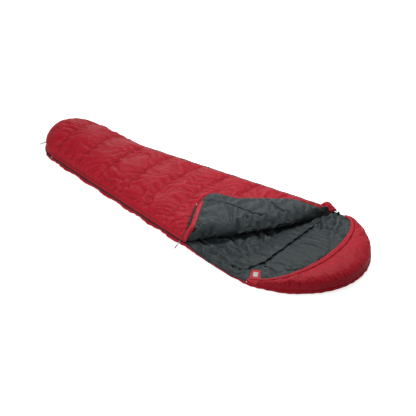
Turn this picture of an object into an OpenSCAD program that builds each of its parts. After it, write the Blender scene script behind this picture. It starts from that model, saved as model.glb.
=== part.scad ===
// Mummy sleeping bag, laid open: foot towards -X, hood towards +X, zip along the -Y side, floor at z = 0.

/* [Overall] */
// Length of the bag from the foot to the crown of the hood
bag_length = 2300; // [1950:10:2700]
// Half width where the straight sides meet the rounded foot
foot_half_width = 200; // [165:1:240]
// Half width across the shoulders
shoulder_half_width = 428; // [360:1:500]
// Length of the rounded foot end
foot_cap = 160; // [130:5:200]
// Distance from the crown of the hood back to the shoulders
hood_length = 470; // [390:5:560]

/* [Quilts] */
// Height of the top quilt over the body
body_loft = 108; // [95:1:130]
// Height of the foot box
foot_loft = 172; // [140:1:210]
// Thickness of the top quilt along its middle
quilt_thickness = 36; // [28:1:40]
// Thickness of the bottom quilt along its middle
bottom_thickness = 44; // [38:1:50]
// How far the bottom quilt's edge drops where the zip is open
open_drop = 13; // [6:1:14]
// Thickness of the shell and lining layers
skin = 1.2; // [1:0.1:2]
// Clearance between layers that lie on each other
layer_gap = 0.4; // [0.3:0.1:0.6]

/* [Side zip] */
// Height of the zip's centre line above the floor
zip_z = 34; // [30:1:40]
// Width of one zip tape
tape_width = 15; // [12:1:18]
// Thickness of the zip tape
tape_t = 1; // [0.8:0.1:1.4]
// Radius of one coil row
coil_r = 1.6; // [1.2:0.1:2]
// Gap between the two coil rows, where the slider's post runs
coil_gap = 2.4; // [2.2:0.1:3]
// How far the tapes stand off the quilts, so that the slider's back plate runs behind them
tape_standoff = 3; // [2.6:0.1:4]
// Distance from the shoulders back to the parked slider
zip_open_length = 450; // [350:10:520]

/* [Slider and pull] */
// Length of the slider
slider_length = 15; // [12:1:18]
// Width of the slider's plates
slider_width = 14; // [12:0.5:17]
// Thickness of the slider's plates
plate_t = 1.3; // [1:0.1:1.6]
// Radius of the bar that the pull hangs from
crown_bar_r = 0.9; // [0.7:0.1:1.1]
// Radius of the pull's cord
pull_cord_r = 0.8; // [0.6:0.1:1]
// Length of the cord between the slider and the moulded puller
pull_cord_length = 22; // [16:1:26]
// Length of the moulded puller
puller_length = 28; // [20:1:32]
// Largest radius of the moulded puller
puller_r = 3.2; // [2.5:0.1:4]
// Slope of the hanging pull below the horizontal
pull_droop = 33; // [20:1:34]

/* [Turned-back flap] */
// Distance from the slider to where the fold line meets the zip side
fold_start = 32; // [25:1:45]
// Distance from the shoulders forward to the far end of the fold line
fold_end_forward = 55; // [35:1:65]
// How far the far end of the fold line lies inside the far seam
fold_end_inset = 42; // [36:1:60]
// Gap between the main top quilt and the fold line
fold_gap = 6; // [5:0.5:8]
// Height of the fold line above the crest of the top quilt
fold_rise = 4; // [3:0.5:6]
// Thickness of the flap at its free edge
flap_edge_t = 12; // [9:1:14]
// Width of the facing strip beside the flap's zip
facing_width = 26; // [18:1:32]

/* [Hood] */
// Height of the hood's brim at the crown
hood_loft = 102; // [92:1:115]
// Depth of the hood's opening in front of its ends
hood_opening_depth = 200; // [170:5:220]
// Distance from the shoulders forward to the ends of the hood's opening
hood_opening_forward = 90; // [80:5:110]
// Thickness of the hood's quilt
hood_thickness = 24; // [18:1:28]
// Outer radius of the drawcord channel
channel_r = 5.5; // [5:0.25:7]
// Radius of the hood's drawcord
drawcord_r = 1.5; // [1.2:0.1:1.8]
// Width of the draft collar
collar_width = 112; // [90:2:120]
// Loft of the draft collar
collar_loft = 15; // [10:1:16]

/* [Trim] */
// Radius of the piping along the seam
piping_r = 3; // [2:0.25:4]
// Length of the tab that closes over the zip's end
tab_length = 82; // [65:1:90]
// Width of the tab at its base
tab_width = 62; // [50:1:70]
// Thickness of the tab
tab_t = 2.4; // [2:0.1:3]
// Length of the hanging loop at the foot
loop_length = 52; // [40:1:54]
// Width of the hanging loop
loop_width = 16; // [12:1:22]
// Radius of the hanging loop's cord
loop_r = 1.6; // [1.2:0.1:2]
// Radius of the cord lock's barrel
lock_r = 7.5; // [7:0.25:9]
// Length of the cord lock's barrel
lock_length = 19; // [19:0.5:22]
// Travel of the cord lock's button
lock_travel = 3.5; // [2.5:0.25:4]

/* [Hidden] */

SHELL = "firebrick";
LINING = "darkslategray";
FILL = "whitesmoke";
TRIM = [0.08, 0.08, 0.09];

// Stations along the bag
foot_x = -bag_length / 2;
crown_x = bag_length / 2;
side_start = foot_x + foot_cap;
shoulder_x = crown_x - hood_length;
slider_x = shoulder_x - zip_open_length;
side_slope = (shoulder_half_width - foot_half_width) / (shoulder_x - side_start);
side_angle = atan(side_slope);
round_over = 10;
head_power = 1.8;
dome_power = 1.8;
cap_power = 2.2;

// Heights of the layers at the seam
seam_half_gap = 3;
bottom_edge_z = zip_z - seam_half_gap;
top_edge_low = zip_z + seam_half_gap;
top_edge_z = zip_z + seam_half_gap + tape_width;
hem_round = 8;

function clamp(a, lo = 0, hi = 1) = min(max(a, lo), hi);
function mix(a, b, t) = a + (b - a) * t;
function soft_min(a, b, k) = min(a, b) - k * ln(1 + exp(-abs(a - b) / k));
function swell(t, p) = pow(max(0, 1 - pow(1 - clamp(t), p)), 1 / p);
function bulge(u, p) = pow(max(0, 1 - pow(min(1, abs(u)), p)), 1 / p);

// Half width of the bag at a station: a rounded foot, straight sides and an oval hood
function side_line(x) = foot_half_width + side_slope * (x - side_start);
function foot_round(x) = sqrt(max(0, 1 - pow(clamp((side_start - x) / foot_cap), 2)));
function head_line(x) =
    shoulder_half_width * sqrt(max(0, 1 - pow(clamp((x - shoulder_x) / hood_length), head_power)));
function half(x) = max(0, soft_min(side_line(x) * foot_round(x), head_line(x), round_over));

// Heights of the top quilt's shell and lining
foot_rise_from = slider_x + 70;
foot_rise_length = 1250;
foot_rise_power = 3;
function crest(x) =
    mix(body_loft, foot_loft, pow(clamp((foot_rise_from - x) / foot_rise_length), foot_rise_power));
function arch(x, y) = bulge(y / max(1, half(x)), dome_power) * swell((x - foot_x) / foot_cap, cap_power);
function shell_z(x, y) = mix(top_edge_z, crest(x), arch(x, y));
function lining_z(x, y) = mix(top_edge_low, crest(x) - quilt_thickness, arch(x, y));

// The bottom quilt's upper surface rises from the seam to its middle
PILLOW = [[1, 0], [0.93, 0.38], [0.75, 0.76], [0.4, 1], [0, 1]];
function pillow_z(f) = mix(bottom_edge_z, bottom_thickness, lookup(-f, [for (p = PILLOW) [-p[0], p[1]]]));

// Where the zip is open, the bottom quilt's edge drops towards the floor
tab_x = shoulder_x + 85;
drop_start = slider_x + 40;
drop_end = tab_x - 30;
drop_run = 120;
function step(t) = let (c = clamp(t)) c * c * (3 - 2 * c);
function drop_here(x) = step((x - drop_start) / drop_run) * step((drop_end - x) / drop_run);
function drop_at(p, f) = p[1] < 0 ? open_drop * drop_here(p[0]) * pow(clamp((f - 0.4) / 0.6), 2) : 0;
function bottom_z(x, y) = let (f = min(1, abs(y) / half(x))) pillow_z(f) - drop_at([x, y], f);

// The fold line runs from the zip side to the far side of the chest
fold_a = [slider_x + fold_start, -half(slider_x + fold_start)];
fold_b = [shoulder_x + fold_end_forward, half(shoulder_x + fold_end_forward) - fold_end_inset];
fold_length = norm(fold_b - fold_a);
fold_u = (fold_b - fold_a) / fold_length;
fold_n = [-fold_u[1], fold_u[0]];
fold_z = body_loft + fold_rise;
function fold_y(x) = fold_a[1] + (x - fold_a[0]) * fold_u[1] / fold_u[0];
function on_flap(s, r) = fold_a + s * fold_u + r * fold_n;

// A closed solid between two grids of points with the same rows and columns
module slab(top, low) {
    rows = len(top);
    cols = len(top[0]);
    n = rows * cols;
    function k(i, j) = i * cols + j;
    function quad(a, b, c, d) = [[a, b, c], [a, c, d]];
    faces = concat(
        [for (i = [0:rows - 2], j = [0:cols - 2])
            each quad(k(i, j), k(i, j + 1), k(i + 1, j + 1), k(i + 1, j))],
        [for (i = [0:rows - 2], j = [0:cols - 2])
            each quad(n + k(i, j), n + k(i + 1, j), n + k(i + 1, j + 1), n + k(i, j + 1))],
        [for (i = [0:rows - 2]) each quad(k(i, 0), k(i + 1, 0), n + k(i + 1, 0), n + k(i, 0))],
        [for (i = [0:rows - 2], j = [cols - 1])
            each quad(k(i + 1, j), k(i, j), n + k(i, j), n + k(i + 1, j))],
        [for (j = [0:cols - 2]) each quad(k(0, j + 1), k(0, j), n + k(0, j), n + k(0, j + 1))],
        [for (j = [0:cols - 2], i = [rows - 1])
            each quad(k(i, j), k(i, j + 1), n + k(i, j + 1), n + k(i, j))]
    );
    polyhedron([for (row = top) each row, for (row = low) each row], faces);
}

// A closed solid through a stack of rings, with a flat cap at each end
module ring_solid(rings) {
    n = len(rings[0]);
    last = (len(rings) - 1) * n;
    points = [for (ring = rings) each ring];
    // Each cell is split along its shorter diagonal, so that layers with the same plan stay parallel
    function cell(a, b, c, d) = norm(points[a] - points[c]) < norm(points[b] - points[d])
        ? [[a, b, c], [a, c, d]] : [[a, b, d], [b, c, d]];
    faces = concat(
        [[for (i = [0:n - 1]) i]],
        [for (k = [0:len(rings) - 2], i = [0:n - 1]) let (a = k * n + i, b = k * n + (i + 1) % n)
            each cell(a, a + n, b + n, b)],
        [[for (i = [n - 1:-1:0]) last + i]]
    );
    polyhedron(points, faces);
}

// A round cord swept along a path
function unit(v) = v / norm(v);
function path_dir(path, i) = unit(path[min(i + 1, len(path) - 1)] - path[max(i - 1, 0)]);
function cord_ring(path, i, r, sides) =
    let (t = path_dir(path, i), s = unit(cross(t, [0, 0, 1])), u = cross(s, t))
    [for (k = [0:sides - 1]) path[i] + r * (cos(360 * k / sides) * s + sin(360 * k / sides) * u)];
module cord(path, r, sides = 8) {
    ring_solid([for (i = [0:len(path) - 1]) cord_ring(path, i, r, sides)]);
}

// The same path as a hollow sleeve, open at both ends
module sleeve(path, r_out, r_in, sides = 8) {
    rings = len(path);
    n = sides;
    m = rings * n;
    function quad(a, b, c, d) = [[a, b, c], [a, c, d]];
    faces = [
        for (k = [0:rings - 2], i = [0:n - 1]) let (a = k * n + i, b = k * n + (i + 1) % n)
            each concat(quad(a, a + n, b + n, b), quad(m + b, m + b + n, m + a + n, m + a)),
        for (i = [0:n - 1]) let (b = (i + 1) % n)
            each concat(quad(i, b, m + b, m + i), quad(m - n + b, m - n + i, 2 * m - n + i, 2 * m - n + b))
    ];
    points = [for (r = [r_out, r_in], i = [0:rings - 1]) each cord_ring(path, i, r, sides)];
    polyhedron(points, faces);
}

// Stations that the layers share
cap_steps = [0.5, 5, 20, 48, 92];
body_steps = 6;
cap_rows = [for (d = cap_steps) foot_x + d];
body_rows = [for (i = [0:body_steps]) mix(side_start, fold_a[0], i / body_steps)];
fold_steps = 5;
top_end_x = fold_b[0] - 25;
chest_rows = [for (i = [1:fold_steps]) mix(fold_a[0], top_end_x, i / fold_steps)];
top_rows = concat(cap_rows, body_rows, chest_rows);

// Outline of the bag seen from above, as a ring that starts at the crown and runs round by the far side
head_steps = 9;
head_rows = [for (i = [0:head_steps]) crown_x - 0.5 - (hood_length - 0.5) * (1 - cos(90 * i / head_steps))];
open_rows_side = [for (i = [1:4]) mix(shoulder_x, drop_start, i / 4)];
side_rows = concat(open_rows_side, [for (i = [1:4]) mix(drop_start, side_start, i / 4)]);
foot_rows = [for (i = [len(cap_steps) - 1:-1:0]) foot_x + cap_steps[i]];
outline_rows = concat(head_rows, side_rows, foot_rows);
far_outline = [for (x = outline_rows) [x, half(x)]];
outline = concat(far_outline, [for (i = [len(far_outline) - 1:-1:0]) [far_outline[i][0], -far_outline[i][1]]]);
spine_foot = side_start;
spine_crown = crown_x - 300;
function spine(p) = [clamp(p[0], spine_foot, spine_crown), 0];
function inset_ring(f, in, z, dropped = 0) =
    [for (p = outline) let (q = spine(p), d = p - q, m = max(0.05, 1 - in / norm(d)))
        [q[0] + d[0] * f * m, d[1] * f * m, z - drop_at(p, f) * dropped]];

module bottom_shell() {
    color(SHELL) ring_solid([
        inset_ring(1, hem_round, 0),
        inset_ring(1, 0, hem_round),
        inset_ring(1, 0, bottom_edge_z, 1),
        inset_ring(1, skin, bottom_edge_z, 1),
        inset_ring(1, skin, hem_round),
        inset_ring(1, hem_round + skin, skin)
    ]);
}

module bottom_insulation() {
    in = skin + layer_gap;
    color(FILL) ring_solid([
        inset_ring(1, hem_round + in, in),
        inset_ring(1, in, hem_round + in),
        for (p = [for (q = PILLOW) if (q[0] > 0) q]) inset_ring(p[0], in, pillow_z(p[0]) - in - 0.1, 1)
    ]);
}

module bottom_lining() {
    levels = [for (q = PILLOW) if (q[0] > 0) q];
    n = len(levels) - 1;
    in = skin + layer_gap;
    color(LINING) ring_solid([
        for (i = [n:-1:0]) inset_ring(levels[i][0], in, pillow_z(levels[i][0]) - skin, 1),
        for (i = [0:n]) inset_ring(levels[i][0], in, pillow_z(levels[i][0]), 1)
    ]);
}

// Places across the top quilt, closer together towards its edges
across_steps = 10;
across = [for (j = [0:across_steps]) (1 - cos(180 * j / across_steps)) / 2];
function near_y(x) = x <= fold_a[0] ? -half(x) : max(-half(x), fold_y(x) + fold_gap / fold_u[0]);
function top_y(x, v, in) =
    let (a = near_y(x), b = half(x))
    mix(a, b, v) + in * (1 - 2 * v);
function top_inset(x, in) = min(in, 0.4 * (half(x) - near_y(x)));
function top_point(x, v, in, z) = [x, top_y(x, v, top_inset(x, in)), z];

module top_shell() {
    // The shell turns down over the quilt's edge as far as the seam
    function edge(x, v, in, drop) =
        [x, top_y(x, v, in), shell_z(x, top_y(x, v, 0)) - drop];
    function drop(x, v) = (v == 0 && x > fold_a[0]) ? skin * 2 : tape_width - layer_gap;
    function row(x, in, down) = concat(
        [edge(x, 0, in, drop(x, 0))],
        [for (v = across) edge(x, v, top_inset(x, in), down)],
        [edge(x, 1, in, drop(x, 1))]
    );
    color(SHELL) slab([for (x = top_rows) row(x, 0, 0)], [for (x = top_rows) row(x, top_inset(x, skin), skin)]);
}

module top_insulation() {
    in = skin + layer_gap;
    color(FILL) slab(
        [for (x = top_rows) [for (v = across) top_point(x, v, in, shell_z(x, top_y(x, v, 0)) - in)]],
        [for (x = top_rows) [for (v = across) top_point(x, v, in, lining_z(x, top_y(x, v, 0)) + in)]]
    );
}

module top_lining() {
    in = skin + layer_gap;
    color(LINING) slab(
        [for (x = top_rows) [for (v = across) top_point(x, v, in, lining_z(x, top_y(x, v, 0)) + skin)]],
        [for (x = top_rows) [for (v = across) top_point(x, v, in, lining_z(x, top_y(x, v, 0)))]]
    );
}

// Piping runs along the far seam and round the foot to the bottom of the zip
zip_foot_x = side_start + 20;
piping_rows = concat([for (i = [0:7]) mix(top_end_x, side_start, i / 7)], foot_rows);
piping_out = piping_r + 0.2;
function off_edge(x, side, out) =
    let (d = 0.5, a = [x - d, half(x - d)], b = [x + d, half(x + d)], n = unit([-(b - a)[1], (b - a)[0]]))
    [x + n[0] * out, side * (half(x) + n[1] * out), zip_z];
piping_path = concat(
    [for (x = piping_rows) off_edge(max(x, foot_x + 5), 1, piping_out)],
    [[foot_x - piping_out, 0, zip_z]],
    [for (i = [len(foot_rows) - 1:-1:0]) off_edge(max(foot_rows[i], foot_x + 5), -1, piping_out)],
    [off_edge(side_start, -1, piping_out), off_edge(zip_foot_x - 16, -1, piping_out)]
);
function without_repeats(path) =
    [for (i = [0:len(path) - 1]) if (i == 0 || norm(path[i] - path[i - 1]) > 1) path[i]];

module side_piping() {
    color(TRIM) cord(without_repeats(piping_path), piping_r);
}

// The closed zip lies in its own frame: x along the side, -y outwards
module zip_frame(x = slider_x) {
    translate([x, -side_line(x), 0]) rotate([0, 0, -side_angle]) children();
}
zip_closed_length = (slider_x - zip_foot_x) / cos(side_angle);
zip_ahead = fold_start / cos(side_angle) - 4;
coil_y = -(tape_standoff + tape_t + coil_r);
coil_offset = coil_gap / 2 + coil_r;
tape_in = seam_half_gap * 0.6;
module along_zip(length, from = 0) {
    translate([from, 0, 0]) rotate([90, 0, 90]) linear_extrude(length) children();
}
// Section of one tape: a flat strip with a stitched foot that reaches the quilt
module tape_section() {
    far = seam_half_gap + tape_width;
    out = -(tape_standoff + tape_t);
    polygon([
        [-0.2, far], [out, far], [out, tape_in], [-tape_standoff, tape_in],
        [-tape_standoff, far - 3], [-0.2, far - 3]
    ]);
}

module zip_tape_bottom() {
    color(TRIM) zip_frame() translate([0, 0, zip_z]) mirror([0, 0, 1])
        along_zip(zip_closed_length + zip_ahead, -zip_closed_length) tape_section();
}

module zip_tape_top() {
    color(TRIM) zip_frame() translate([0, 0, zip_z])
        along_zip(zip_closed_length + zip_ahead, -zip_closed_length) tape_section();
}

module coil_row(side) {
    zip_frame() translate([-zip_closed_length, coil_y, zip_z + side * coil_offset])
        rotate([0, 90, 0]) cylinder(r = coil_r - 0.05, h = zip_closed_length + zip_ahead, $fn = 24);
}

module zip_coil_bottom() {
    color(TRIM) coil_row(-1);
}

module zip_coil_top() {
    color(TRIM) coil_row(1);
}

stop_length = 6;
module zip_bottom_stop() {
    wide = 2 * coil_offset + 2 * coil_r + 2;
    at = [-zip_closed_length - stop_length - 0.3, coil_y - coil_r - 0.5, zip_z - wide / 2];
    color("silver") zip_frame() translate(at) cube([stop_length, 2 * coil_r + 1, wide]);
}

// The lower tape runs on along the open side to the tab
open_from = slider_x + fold_start;
open_to = tab_x - tab_width / 2 - 8;
open_steps = 12;
open_rows = [for (i = [0:open_steps]) mix(open_from, open_to, i / open_steps)];
function open_point(x, out, z) = let (p = off_edge(x, -1, out)) [p[0], p[1], z - open_drop * drop_here(x)];
open_gap = 0.6;

module zip_tape_open() {
    low = zip_z - seam_half_gap - tape_width;
    high = zip_z - tape_in;
    color(TRIM) slab(
        [for (x = open_rows) [for (z = [low, high]) open_point(x, open_gap + tape_t, z)]],
        [for (x = open_rows) [for (z = [low, high]) open_point(x, open_gap, z)]]
    );
}

module zip_coil_open() {
    path = [for (x = open_rows) open_point(x, open_gap + 0.1 + tape_t + coil_r, zip_z - coil_offset)];
    color(TRIM) cord(path, coil_r);
}

module zip_end_stop() {
    p = open_point(open_to + 5, open_gap + 0.3 + tape_t, zip_z - coil_offset - 3);
    color("silver") translate(p) translate([-1.5, -3.5, 0]) cube([5, 3.5, 6]);
}

// A padded tube lies inside the closed zip and keeps draughts out
module zip_draft_tube() {
    x0 = side_start + 120;
    x1 = slider_x - 60;
    inside = 62;
    tube_r = 6;
    path = [for (i = [0:6]) let (x = mix(x0, x1, i / 6), y = inside - half(x))
        [x, y, bottom_z(x, y) + tube_r + 1.4]];
    color(LINING) cord(path, tube_r);
}

// Slider: two plates joined by a thin post, with a bridge for the pull
inner_plate_y = -(tape_standoff - plate_t) / 2;
outer_plate_y = coil_y - coil_r - 0.5;
crown_y = outer_plate_y - plate_t - 3.1;
crown_half = 4;
module plate(y) {
    translate([0, y, 0]) rotate([90, 0, 0]) linear_extrude(plate_t) intersection() {
        square([slider_length, slider_width], center = true);
        circle(r = slider_length * 0.6, $fn = 48);
    }
}

module zip_slider() {
    post_w = coil_gap - 1;
    color([0.25, 0.25, 0.27]) zip_frame() translate([0, 0, zip_z]) {
        plate(inner_plate_y);
        plate(outer_plate_y);
        translate([-2, outer_plate_y - 0.1, -post_w / 2]) cube([4, inner_plate_y - outer_plate_y, post_w]);
        for (side = [-1, 1])
            translate([side * crown_half, outer_plate_y - plate_t + 0.1, 0]) rotate([90, 0, 0])
                cylinder(r = crown_bar_r, h = outer_plate_y - plate_t - crown_y + 0.1 + crown_bar_r, $fn = 24);
        translate([-crown_half, crown_y, 0]) rotate([0, 90, 0])
            cylinder(r = crown_bar_r, h = 2 * crown_half, $fn = 24);
    }
}

// The pull hangs from the bridge: a cord loop and a moulded puller
pull_loop_r = crown_bar_r + pull_cord_r + 0.35;
module pull_frame() {
    zip_frame() translate([0, crown_y, zip_z]) rotate([pull_droop, 0, 0]) rotate([0, 0, 180]) children();
}

module pull_cord() {
    color([0.55, 0.56, 0.56]) pull_frame() rotate([0, -90, 0]) {
        rotate([0, 0, 180]) rotate_extrude(angle = 180, $fn = 32)
            translate([pull_loop_r, 0]) circle(r = pull_cord_r, $fn = 16);
        for (side = [-1, 1]) translate([side * pull_loop_r, 0, 0]) rotate([-90, 0, 0])
            cylinder(r = pull_cord_r, h = pull_cord_length, $fn = 16);
    }
}

module puller() {
    profile = [
        [0, 0], [puller_r * 0.92, 0], [puller_r * 0.8, puller_length * 0.2], [puller_r, puller_length * 0.75],
        [puller_r * 0.7, puller_length], [0, puller_length]
    ];
    color(TRIM) pull_frame() translate([0, pull_cord_length + 0.05, 0]) rotate([-90, 0, 0])
        rotate_extrude($fn = 32) polygon(profile);
}

// Reach of the flap away from the fold line, at fractions of the fold line's length
REACH = [
    [0.045, 34], [0.10, 120], [0.165, 226], [0.225, 282], [0.285, 304], [0.345, 262], [0.42, 204],
    [0.53, 170], [0.66, 138], [0.78, 98], [0.87, 52], [0.92, 22]
];
flap_from = REACH[0][0] * fold_length;
flap_to = REACH[len(REACH) - 1][0] * fold_length;
flap_steps = 16;
flap_rows = [for (i = [0:flap_steps]) mix(flap_from, flap_to, i / flap_steps)];
flap_across = [0, 0.2, 0.45, 0.7, 0.87, 1];
flap_start = 2;
function reach(s) = lookup(s / fold_length, REACH);
function flap_low(p) = (shell_z(p[0], p[1]) + 2 + fold_z) / 2;
function flap_t(s, v) =
    let (ends = pow(clamp(min(s, flap_to - s + 40) / 110, 0.1, 1), 0.6))
    mix(flap_edge_t, quilt_thickness, ends * bulge(v, 3));
function flap_point(s, v, in, lift) =
    let (p = on_flap(s, mix(flap_start + in, reach(s) - in, v)), q = on_flap(s, mix(flap_start, reach(s), v)))
    [p[0], p[1], flap_low(q) + lift];
function flap_grid(in, from_low, from_top) =
    [for (s = flap_rows) let (sc = clamp(s, flap_from + in, flap_to - in))
        [for (v = flap_across) flap_point(sc, v, in, from_top == undef ? from_low : flap_t(s, v) - from_top)]];

module flap_shell() {
    color(SHELL) slab(flap_grid(0, skin), flap_grid(0, 0));
}

module flap_insulation() {
    in = skin + layer_gap;
    color(FILL) slab(flap_grid(in, 0, in), flap_grid(in, in));
}

module flap_lining() {
    color(LINING) slab(flap_grid(0, 0, 0), flap_grid(0, 0, skin));
}

// The flap's zip edge is straight: places along it, and across it to its outer side
edge_a = on_flap(REACH[0][0] * fold_length, REACH[0][1]);
edge_b = on_flap(REACH[2][0] * fold_length, REACH[2][1]);
edge_dir = unit(edge_b - edge_a);
edge_out = [-edge_dir[1], edge_dir[0]];
edge_steps = 5;
function edge_point(t, out, lift) =
    let (p = mix(edge_a, edge_b, t) + out * edge_out)
    [p[0], p[1], flap_low(mix(edge_a, edge_b, t)) + lift];
module edge_strip(from, to, lift, thick) {
    slab(
        [for (i = [0:edge_steps]) [for (w = [from, to]) edge_point(i / edge_steps, w, lift + thick)]],
        [for (i = [0:edge_steps]) [for (w = [from, to]) edge_point(i / edge_steps, w, lift)]]
    );
}

module flap_zip_tape() {
    color(TRIM) edge_strip(1, 1 + tape_width, 3, tape_t);
}

module flap_zip_coil() {
    lift = 3.2 + tape_t + coil_r;
    path = [for (i = [0:edge_steps]) edge_point(i / edge_steps, 1 + tape_width - coil_r, lift)];
    color(TRIM) cord(path, coil_r, 6);
}

module flap_facing() {
    s = [for (i = [0:edge_steps]) mix(REACH[0][0], REACH[2][0], i / edge_steps) * fold_length];
    widths = [facing_width, 0.5];
    facing_gap = layer_gap + 3;
    function strip_point(i, w, up) =
        let (r = reach(s[i]), k = max(0, r - w / 0.87), v = clamp((k - flap_start) / (r - flap_start)))
        let (p = on_flap(s[i], mix(flap_start, r, v)))
        [p[0], p[1], flap_low(p) + flap_t(s[i], v) + up];
    color(SHELL) slab(
        [for (i = [1:edge_steps]) [for (w = widths) strip_point(i, w, facing_gap + skin)]],
        [for (i = [1:edge_steps]) [for (w = widths) strip_point(i, w, facing_gap)]]
    );
}

module flap_end_stop() {
    p = edge_point(1, 1 + tape_width - coil_r, 3.2 + tape_t);
    color("silver") translate(p) rotate([0, 0, atan2(edge_dir[1], edge_dir[0])])
        translate([0.6, -2.5, 0]) cube([5, 5, 2 * coil_r]);
}

// The hood's brim rises from the outline to its opening, which is half an oval
hood_x = shoulder_x + hood_opening_forward;
hood_span = crown_x - 0.5 - hood_x;
hood_opening_half = half(hood_x) - 16;
hood_turn = 86;
hood_steps = 18;
hood_angles = [for (i = [0:hood_steps]) mix(-hood_turn, hood_turn, i / hood_steps)];
function hood_outer(a) = let (x = hood_x + hood_span * cos(a)) [x, sign(a) * half(x)];
function hood_inner(a) = [hood_x + hood_opening_depth * cos(a), hood_opening_half * sin(a)];
function hood_crest(a) = mix(top_edge_z - 4, hood_loft, pow(cos(a), 0.8));
function hood_z(a, v) = v < 0.6
    ? mix(top_edge_z - 6, hood_crest(a), swell(v / 0.6, cap_power))
    : hood_crest(a) - 9 * pow((v - 0.6) / 0.4, 2) * cos(a);
hood_across = [0, 0.07, 0.2, 0.4, 0.6, 0.8, 1];
hood_edge_t = 9;
function hood_t(a, v) =
    mix(hood_edge_t, mix(hood_edge_t, hood_thickness, cos(a)), v < 0.6 ? 1 : bulge((v - 0.6) / 0.4, 2));
function hood_point(a, v, in, z) =
    let (o = hood_outer(a), w = hood_inner(a), k = in / norm(w - o), m = mix(k, 1 - k, v), p = mix(o, w, m))
    [p[0], p[1], z];

module hood_shell() {
    function row(a, in, down) = concat(
        [hood_point(a, 0, in, bottom_edge_z + layer_gap)],
        [for (v = hood_across) hood_point(a, v, in, hood_z(a, v) - down)]
    );
    color(SHELL) slab([for (a = hood_angles) row(a, 0, 0)], [for (a = hood_angles) row(a, skin, skin)]);
}

function hood_layer(in, down, thick) =
    [for (a = hood_angles) [for (v = hood_across)
        hood_point(a, v, in, hood_z(a, v) - down - (thick ? hood_t(a, v) * (v == 0 ? 0.6 : 1) : 0))]];

module hood_insulation() {
    in = skin + layer_gap;
    color(FILL) slab(hood_layer(in + skin, in, false), hood_layer(in + skin, -in, true));
}

module hood_lining() {
    in = skin * 2 + layer_gap;
    color(LINING) slab(hood_layer(in, -skin, true), hood_layer(in, 0, true));
}

// The drawcord channel follows the opening's edge
channel_steps = 16;
channel_turn = 84;
function channel_point(a) =
    let (c = channel_r + 0.6)
    [hood_x + (hood_opening_depth - c) * cos(a), (hood_opening_half - c) * sin(a), hood_z(a, 1) - channel_r + 1];
channel_path = [for (i = [0:channel_steps]) channel_point(mix(-channel_turn, channel_turn, i / channel_steps))];

module hood_edge_channel() {
    color(SHELL) sleeve(channel_path, channel_r, drawcord_r + 1);
}

module hood_drawcord() {
    color(TRIM) cord(channel_path, drawcord_r, 6);
}

// The drawcord's end comes out of the channel, passes through the cord lock and ends beyond it
channel_end = channel_path[channel_steps];
channel_out = path_dir(channel_path, channel_steps);
lock_reach = [-46, 2, 0];
lock_xy = [channel_end[0] + lock_reach[0], channel_end[1] + lock_reach[1]];
lock_z = bottom_z(lock_xy[0] - lock_r, lock_xy[1] - lock_r) + lock_length / 2 + 1.2;
lock_centre = [lock_xy[0], lock_xy[1], lock_z];
drawcord_end_path = [
    channel_end + 0.3 * channel_out, channel_end + 5 * channel_out, channel_end + [-14, 4, -3],
    lock_centre + [22, 1.5, 2], lock_centre + [12, 0, 0], lock_centre, lock_centre - [11, 0, 0],
    lock_centre + [-17, 2, -2], lock_centre + [-23, 6, -5]
];

module drawcord_end() {
    color(TRIM) cord(drawcord_end_path, drawcord_r);
}

// Cord lock: an upright barrel on the cord, with a sprung button on top
lock_bore_r = drawcord_r + 0.5;
button_r = lock_r - 2.2;
lock_floor = 2;
spring_r = 3.4;
module lock_frame() {
    translate(lock_centre) children();
}
module cross_bore(r) {
    rotate([0, 90, 0]) cylinder(r = r, h = 4 * lock_r, center = true, $fn = 24);
}

module cord_lock_body() {
    color(TRIM) lock_frame() difference() {
        translate([0, 0, -lock_length / 2]) cylinder(r = lock_r, h = lock_length, $fn = 40);
        translate([0, 0, -lock_length / 2 + lock_floor]) cylinder(r = button_r + 0.4, h = lock_length, $fn = 40);
        cross_bore(lock_bore_r);
    }
}

button_low = -(drawcord_r + 0.4) - 1.4;
button_high = lock_length / 2 + lock_travel + 1.5;
module cord_lock_button() {
    color([0.15, 0.15, 0.16]) lock_frame() difference() {
        translate([0, 0, button_low]) cylinder(r = button_r, h = button_high - button_low, $fn = 40);
        hull() for (z = [0, lock_travel]) translate([0, 0, z]) rotate([0, 90, 0])
            cylinder(r = drawcord_r + 0.4, h = 4 * lock_r, center = true, $fn = 24);
    }
}

module cord_lock_spring() {
    low = -lock_length / 2 + lock_floor;
    color("silver") lock_frame() translate([0, 0, low]) difference() {
        cylinder(r = spring_r, h = button_low - low, $fn = 32);
        translate([0, 0, -1]) cylinder(r = spring_r - 0.6, h = 10, $fn = 32);
    }
}

// An oval panel of the hood lies under the head
panel_z = bottom_thickness + layer_gap;
panel_loft = 8;
panel_from = shoulder_x + 38;
panel_length = 208;
panel_shift = -34;
panel_gap = 43.7;
// The tab lies across the panel's corner, so the panel ends a set distance short of the tab's inner end
tab_turn = 33;
tab_edge = 20;
tab_top_width = tab_width * 0.74;
tab_inner = half(tab_x) - tab_edge - tab_length * cos(tab_turn) - tab_top_width / 2 * sin(tab_turn);
panel_half = tab_inner + panel_shift - panel_gap;
panel_rows = [0, 0.2, 0.4, 0.6, 0.76, 0.88, 0.96];
panel_cols = [-1, -0.85, -0.5, 0, 0.5, 0.85, 1];
module hood_centre_panel() {
    function panel_grid(z, loft) = [for (u = panel_rows) [for (w = panel_cols)
        let (y = panel_shift + w * panel_half * sqrt(1 - u * u))
        [panel_from + u * panel_length, y, z + loft * bulge(w, 3) * bulge(u, 3)]]];
    color(LINING) slab(panel_grid(panel_z + 2, panel_loft - 2), panel_grid(panel_z, 0));
}

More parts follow.
